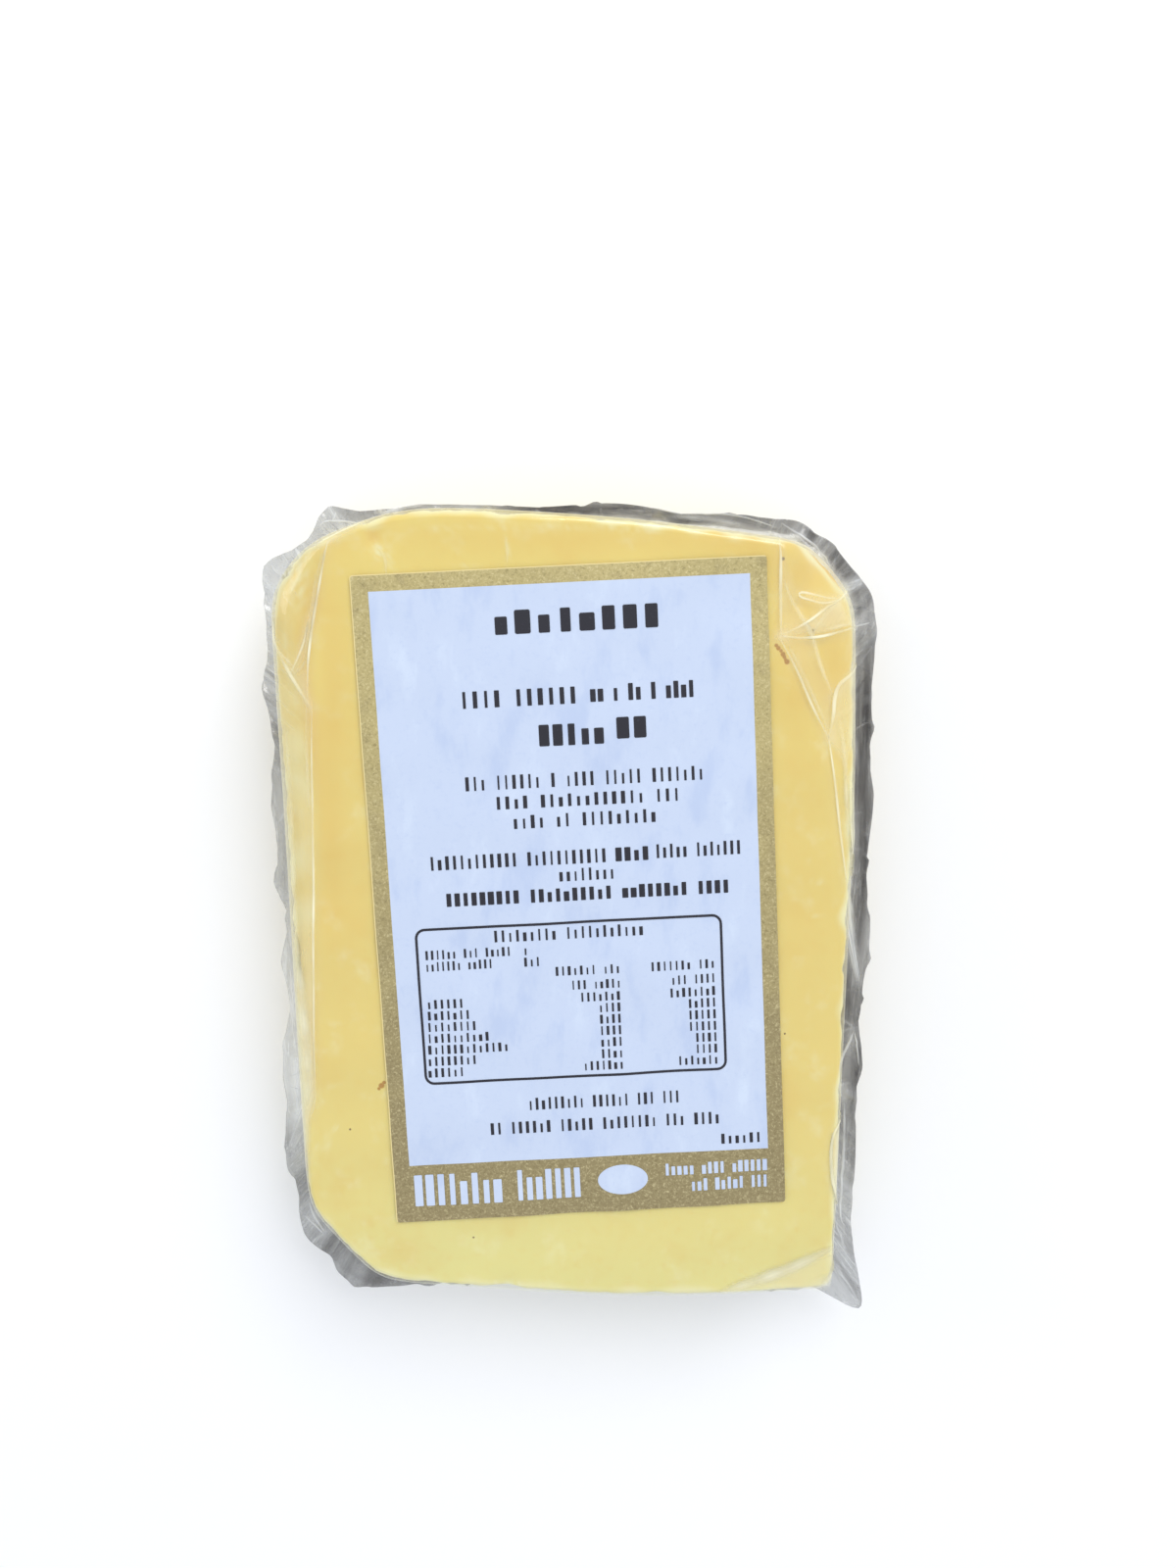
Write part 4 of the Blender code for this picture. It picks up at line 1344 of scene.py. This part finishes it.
def make_label():
    """The sheet: upper and lower grid joined round the edge, each cell with its finish.

    The corners are rounded by pulling the points of the corner square onto its quarter circle.
    """
    half_u, half_v = 0.5 * LABEL_WIDTH, 0.5 * LABEL_LENGTH
    left, right, low, high = WHITE_FIELD
    corner = [0.0, CUT_EDGE, 0.3 * LABEL_CORNER, 0.6 * LABEL_CORNER, LABEL_CORNER]
    u = grid_lines([side * (half_u - c) for c in corner for side in (-1, 1)] + [left, right], 0.7)
    v = grid_lines([side * (half_v - c) for c in corner for side in (-1, 1)] + [low, high], 0.7)
    grid_u, grid_v = np.meshgrid(u, v)
    in_u, in_v = half_u - LABEL_CORNER, half_v - LABEL_CORNER
    beyond_u, beyond_v = np.abs(grid_u) - in_u, np.abs(grid_v) - in_v
    square = np.maximum(beyond_u, beyond_v)
    reach = np.hypot(beyond_u, beyond_v)
    shrink = np.where((beyond_u > 0) & (beyond_v > 0), square / np.maximum(reach, 1e-9), 1.0)
    round_u = np.where(shrink < 1.0, np.sign(grid_u) * (in_u + beyond_u * shrink), grid_u)
    round_v = np.where(shrink < 1.0, np.sign(grid_v) * (in_v + beyond_v * shrink), grid_v)
    upper = label_point(round_u, round_v, LABEL_THICKNESS)
    lower = label_point(round_u, round_v, 0.0)
    rows, columns = grid_u.shape
    number = np.arange(rows * columns).reshape(rows, columns)
    cells = np.stack([number[:-1, :-1], number[:-1, 1:], number[1:, 1:], number[1:, :-1]], -1).reshape(-1, 4)
    border = np.concatenate([number[0, :-1], number[:-1, -1], number[-1, :0:-1], number[:0:-1, 0]])
    after = np.roll(border, -1)
    below = rows * columns
    rim = np.stack([border + below, after + below, after, border], -1)
    points = np.concatenate([upper.reshape(-1, 3), lower.reshape(-1, 3)]) * MM
    sheet = add_piece("label_sheet", points, [cells, cells[:, ::-1] + below, rim], paper_finish)
    sheet.data.materials.append(gold_finish)
    sheet.data.materials.append(cut_finish)
    middle_u = 0.25 * grid_u.ravel()[cells].sum(1)
    middle_v = 0.25 * grid_v.ravel()[cells].sum(1)
    white = (middle_u > left) & (middle_u < right) & (middle_v > low) & (middle_v < high)
    # Cut-edge cream on the face along the left and upper sides only: a painted highlight.
    bare = (middle_u < CUT_EDGE - half_u) | (middle_v > half_v - CUT_EDGE)
    finish = np.where(white, 0, np.where(bare, 2, 1))
    finish = np.concatenate([finish, np.zeros(len(cells)), np.full(len(rim), 2)]).astype(np.int32)
    sheet.data.polygons.foreach_set("material_index", finish)
    sheet.data.set_sharp_from_angle(angle=math.radians(50.0))
    return sheet


label = make_label()

# %% [markdown]
# ## Print on the label
#
# The print is rows of plain upright bars in groups, some dark and some pale, that only keep a
# label's rhythm of light and bold lines. A bar is a very flat prism that follows the label's
# surface. All the dark bars are one piece and the pale ones in the gold band another.

# %% Lines of print
# Each line: left end, right end, middle height and bar height in mm, weight, and the number of
# bars in each group.
# A weight is the least and the greatest width of a bar as a share of the pitch.
LIGHT, BOLD = (0.22, 0.5), (0.45, 0.75)
LOWER_BAR = 0.75
DARK_LINES = (
    (-10.4, 14.9, 42.1, 3.5, BOLD, (8,)),
    (-15.7, 2, 31, 2.5, LIGHT, (4, 6)),
    (3.6, 19.3, 31.1, 2.5, BOLD, (2, 1, 2, 1, 4)),
    (-4.4, 5.8, 25.2, 3.2, BOLD, (5,)),
    (7.1, 12.2, 25.8, 3.2, BOLD, (2,)),
    (-15.8, 20.3, 18.5, 2.1, LIGHT, (3, 6, 1, 4, 5, 7)),
    (-11.4, 16.6, 15.4, 1.9, LIGHT, (4, 12, 3)),
    (-9, 13, 12.4, 2, LIGHT, (4, 2, 9)),
    (-21.8, 5.2, 6.7, 2.1, LIGHT, (12, 11)),
    (6.2, 11.6, 6.7, 2.1, BOLD, (4,)),
    (12.3, 25.5, 6.9, 2.1, LIGHT, (5, 7)),
    (-2.5, 6.3, 4, 1.9, LIGHT, (8,)),
    (-19.7, 23.5, 1, 2, BOLD, (9, 10, 8, 4)),
    (-12.9, 10.3, -5, 1.8, LIGHT, (9, 11)),
    (-23.4, -10.1, -7.4, 1.4, LIGHT, (6, 3, 5)),
    (-8.5, -7.4, -7.4, 1.4, LIGHT, (1,)),
    (-23.4, -13, -9.2, 1.4, LIGHT, (7, 5)),
    (-8.5, -5.7, -9.2, 1.4, LIGHT, (3,)),
    (-3.8, 6.4, -10.9, 1.4, LIGHT, (7, 3)),
    (10.8, 20.9, -10.9, 1.4, LIGHT, (7, 3)),
    (-1.4, 6.4, -13.2, 1.4, LIGHT, (3, 5)),
    (13.9, 20.9, -13.2, 1.4, LIGHT, (3, 4)),
    (-9, 14.7, -31.8, 1.9, LIGHT, (9, 6, 3, 3)),
    (-15.2, 20.8, -35.5, 1.9, LIGHT, (2, 6, 5, 8, 3, 4)),
    (20.5, 27.1, -39, 1.6, LIGHT, (6,)),
)
TABLE_ROWS = 7
TABLE_TOP = -15.1
TABLE_PITCH = 1.82
TABLE_BAR = 1.4
TABLE_LEFT = (-23.6, (6, 7, 8, 10, 13, 8, 6), 0.98)
TABLE_COLUMNS = ((6.3, (7, 4, 4, 4, 4, 4, 7)), (20.9, (8, 5, 5, 5, 4, 4, 7)))
TABLE_COLUMN_PITCH = 0.92
TABLE_FRAME = (-24.4, 21.9, -27.7, -3.4)
TABLE_FRAME_LINE = 0.38
TABLE_FRAME_CORNER = 1.3
TABLE_FRAME_STEPS = 40
PALE_LINES = (
    (-27.6, -13.5, -45, 5, BOLD, (8,)),
    (-11.6, -1.2, -44.9, 4.9, BOLD, (7,)),
    (11.7, 27.9, -43.6, 1.9, BOLD, (5, 4, 6)),
    (15.7, 27.9, -46.3, 2, BOLD, (3, 5, 3)),
)
PALE_OVAL = (5.2, -44.8, 3.9, 2.4)
INK_LIFT = 0.045
# A tall flat bar needs more lift, or the sheet's waves come through it.
TALL_LIFT = 0.08
INK_DEPTH = 0.06


def line_blocks(left, right, middle, height, weight, groups):
    """Rectangles (u0, u1, v0, v1) of one line, an upright bar in each pitch that isn't a gap.

    The line is split into as many equal pitches as it has bars and gaps between groups.
    A bar's width is a random share of the pitch, and one bar in three is lower.
    """
    pitch = (right - left) / (sum(groups) + len(groups) - 1)
    starts = np.cumsum([0] + [count + 1 for count in groups[:-1]])
    slots = np.concatenate([np.arange(count) + start for count, start in zip(groups, starts)])
    chance = np.random.default_rng(int(1000 + 10 * abs(left) + abs(middle)))
    half = 0.5 * pitch * chance.uniform(*weight, len(slots))
    u = left + (slots + 0.5) * pitch
    low = np.full(len(slots), middle - 0.5 * height)
    high = low + height * chance.choice([1.0, 1.0, LOWER_BAR], len(slots))
    return np.stack([u - half, u + half, low, high], -1)


def block_points(blocks, cut=0.08):
    """Eight corners (u, v) of each bar, its corners cut off by a share of its shorter side."""
    u0, u1, v0, v1 = blocks.T
    c = cut * np.minimum(u1 - u0, v1 - v0)
    u = np.stack([u0 + c, u1 - c, u1, u1, u1 - c, u0 + c, u0, u0], -1)
    v = np.stack([v0, v0, v0 + c, v1 - c, v1, v1, v1 - c, v0 + c], -1)
    return u, v


def make_prisms(name, u, v, finish, lift, more=()):
    """One piece of flat prisms on the label, from outlines (u, v) with equal corner counts.

    Their upper faces lie lift mm above the sheet. more holds points and faces that join the piece.
    """
    sides = u.shape[1]
    top = label_point(u, v, LABEL_THICKNESS + lift)
    bottom = label_point(u, v, LABEL_THICKNESS + lift - INK_DEPTH)
    points = np.stack([bottom, top], 1).reshape(-1, 3)
    base = (np.arange(len(u)) * 2 * sides)[:, None]
    ring = np.arange(sides)
    lower, upper = base + ring[::-1], base + sides + ring
    here, after = ring, np.roll(ring, -1)
    walls = np.stack([base + here, base + after, base + sides + after, base + sides + here], -1)
    blocks = [lower, upper, walls.reshape(-1, 4)]
    start = len(points)
    for extra_points, extra_faces in more:
        blocks.append(extra_faces + start)
        points = np.concatenate([points, extra_points])
        start += len(extra_points)
    piece = add_piece(name, points * MM, blocks, finish)
    piece.data.set_sharp_from_angle(angle=math.radians(40.0))
    return piece


def rounded_frame():
    """The table's frame: a flat bar round a rectangle with rounded corners, as points and faces.

    The outline is four quarter circles, each point with its direction out. The straight runs
    between them are split, so that the bar follows the sheet.
    """
    left, right, low, high = TABLE_FRAME
    turn = np.radians([start + step for start in range(0, 360, 90) for step in range(0, 91, 15)])
    out = np.stack([np.cos(turn), np.sin(turn)], -1)
    side = np.repeat([(1, 1), (-1, 1), (-1, -1), (1, -1)], len(turn) // 4, axis=0)
    middle = np.where(side > 0, (right, high), (left, low)) - side * TABLE_FRAME_CORNER
    points = np.concatenate([middle + TABLE_FRAME_CORNER * out, out], -1)
    runs = [np.linspace(a, b, TABLE_FRAME_STEPS if np.abs(b - a).max() > 1.0 else 1, endpoint=False)
            for a, b in zip(points, np.roll(points, -1, axis=0))]
    u, v, out_u, out_v = np.concatenate(runs).T
    count = len(u)
    half = 0.5 * TABLE_FRAME_LINE
    rings = [label_point(u + side * half * out_u, v + side * half * out_v, LABEL_THICKNESS + INK_LIFT - deep)
             for side, deep in ((1, INK_DEPTH), (1, 0.0), (-1, 0.0), (-1, INK_DEPTH))]
    corner = np.arange(4)[:, None] * count + np.arange(count)
    following = np.roll(corner, -1, axis=1)
    next_ring, next_following = np.roll(corner, -1, axis=0), np.roll(following, -1, axis=0)
    faces = np.stack([corner, following, next_following, next_ring], -1).reshape(-1, 4)
    return np.concatenate(rings), faces


def table_blocks():
    """Rectangles of the bars in the table's rows, long rows at the left and short ones at the right."""
    blocks = []
    for row in range(TABLE_ROWS):
        middle = TABLE_TOP - TABLE_PITCH * row
        left, counts, pitch = TABLE_LEFT
        shift = -0.1 * row
        blocks.append(line_blocks(left + shift, left + shift + pitch * counts[row], middle, TABLE_BAR,
                                  LIGHT, (counts[row],)))
        for right, counts in TABLE_COLUMNS:
            blocks.append(line_blocks(right - TABLE_COLUMN_PITCH * counts[row], right, middle - 0.1,
                                      TABLE_BAR, LIGHT, (counts[row],)))
    return blocks


dark_blocks = np.concatenate([line_blocks(*line) for line in DARK_LINES] + table_blocks())
dark_print = make_prisms("label_print_dark", *block_points(dark_blocks), ink_finish, INK_LIFT,
                         [rounded_frame()])

pale_blocks = np.concatenate([line_blocks(*line) for line in PALE_LINES])
pale_print = make_prisms("label_print_pale", *block_points(pale_blocks), paper_finish, TALL_LIFT)


def oval_loops():
    """The oval as rings that follow the sheet: out over its face and back in below it."""
    turn = np.linspace(0.0, 2.0 * math.pi, 48, endpoint=False)[None, :]
    share = np.array([0.05, 0.35, 0.7, 1.0, 1.0, 0.7, 0.35, 0.05])[:, None]
    deep = np.array([0.0, 0.0, 0.0, 0.0, 1.0, 1.0, 1.0, 1.0])[:, None] * INK_DEPTH
    middle_u, middle_v, half_u, half_v = PALE_OVAL
    u = middle_u + half_u * share * np.cos(turn)
    v = middle_v + half_v * share * np.sin(turn)
    return label_point(u, v, LABEL_THICKNESS + INK_LIFT - deep)


oval = closed_loops("label_oval", [oval_loops()], paper_finish)
oval.data.set_sharp_from_angle(angle=math.radians(40.0))

# %% [markdown]
# ## Fixing the pieces to the frame
#
# The pack has one body, so every piece rides on it. The film, its folds and the cheese stand for
# the solid of the sealed bag, and the sheet with its print stands for the solid of the label.

# %% Attach
for piece in (film, folds, cheese):
    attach(piece, "root")
    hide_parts("sealed_bag")
for piece in (label, dark_print, pale_print, oval):
    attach(piece, "root")
    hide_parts("label")

# %% [markdown]
# ## Floor, light and camera
#
# The pack lies on a plain pale floor. A wide soft light hangs over it, a weaker one stands behind
# the upper end to draw the film's edges, and an even sky fills the shadows. The camera is where
# the photograph was taken from: 174 mm above the face, 40 mm towards the label's upper end, with
# the view of a phone's wide lens. The label's four corners fix that place.

# %% Stage
FLOOR_COLOUR = "FDFDFC"
FLOOR_SIZE = 3.0
FLOOR_GAP = 0.00005
# Place, aim and size in metres, and watts.
SOFTBOXES = {
    "window_softbox": ((0.45, 1.0, 1.0), (0.0, 0.0, 0.0), 0.8, 8.7),
    "side_softbox": ((-1.1, 0.5, 0.5), (0.0, 0.0, 0.02), 0.5, 1.6),
}
SKY = 0.87
SKY_COLOUR = "F2F6FF"
CAMERA_FROM_LABEL = np.array([-0.34, 40.22, 174.39])
CAMERA_VIEW = Vector((0.0129, -0.1279, -0.9917))
CAMERA_UP = Vector((0.0017, 0.9918, -0.1279))
PICTURE_HEIGHT = 1600
FOCAL_PIXELS = 1200.0
SENSOR = 36.0
CLIP_START = 0.01


def make_floor():
    """A large square in matte off-white paint, just under the pack."""
    half = 0.5 * FLOOR_SIZE
    corners = np.array([(-half, -half, 0.0), (half, -half, 0.0), (half, half, 0.0), (-half, half, 0.0)])
    return add_piece("floor", corners - (0.0, 0.0, FLOOR_GAP), [np.array([[0, 1, 2, 3]])],
                     make_plain_finish("studio_floor", FLOOR_COLOUR, 0.9))


def add_softbox(name, place, aim, size, watts):
    """A square area light at a place in metres, turned towards a point."""
    light = bpy.data.lights.new(name, "AREA")
    light.shape = "SQUARE"
    light.size = size
    light.energy = watts
    lamp = bpy.data.objects.new(name, light)
    lamp.location = place
    lamp.rotation_euler = (Vector(aim) - Vector(place)).to_track_quat("-Z", "Y").to_euler()
    bpy.context.scene.collection.objects.link(lamp)


floor = make_floor()
for name, box in SOFTBOXES.items():
    add_softbox(name, *box)

world = bpy.data.worlds.new("even_sky")
world.use_nodes = True
background = world.node_tree.nodes["Background"]
background.inputs["Color"].default_value = linear_colour(SKY_COLOUR)
background.inputs["Strength"].default_value = SKY
scene = bpy.context.scene
scene.world = world
scene.view_settings.view_transform = "Standard"

camera_data = bpy.data.cameras.new("camera")
camera_data.sensor_width = SENSOR
camera_data.lens = FOCAL_PIXELS / PICTURE_HEIGHT * SENSOR
camera_data.clip_start = CLIP_START
camera = bpy.data.objects.new("camera", camera_data)
side = CAMERA_VIEW.cross(CAMERA_UP).normalized()
up = side.cross(CAMERA_VIEW).normalized()
turned = Matrix((side, up, -CAMERA_VIEW.normalized())).transposed().to_4x4()
face_middle = np.array([label_middle[0], label_middle[1], SLAB_TOP + LABEL_LIFT])
camera.matrix_world = Matrix.Translation(Vector((face_middle + CAMERA_FROM_LABEL) * MM)) @ turned
scene.collection.objects.link(camera)
scene.camera = camera
print("camera at", ((face_middle + CAMERA_FROM_LABEL) * MM).round(3), "with a", camera_data.lens, "mm lens")
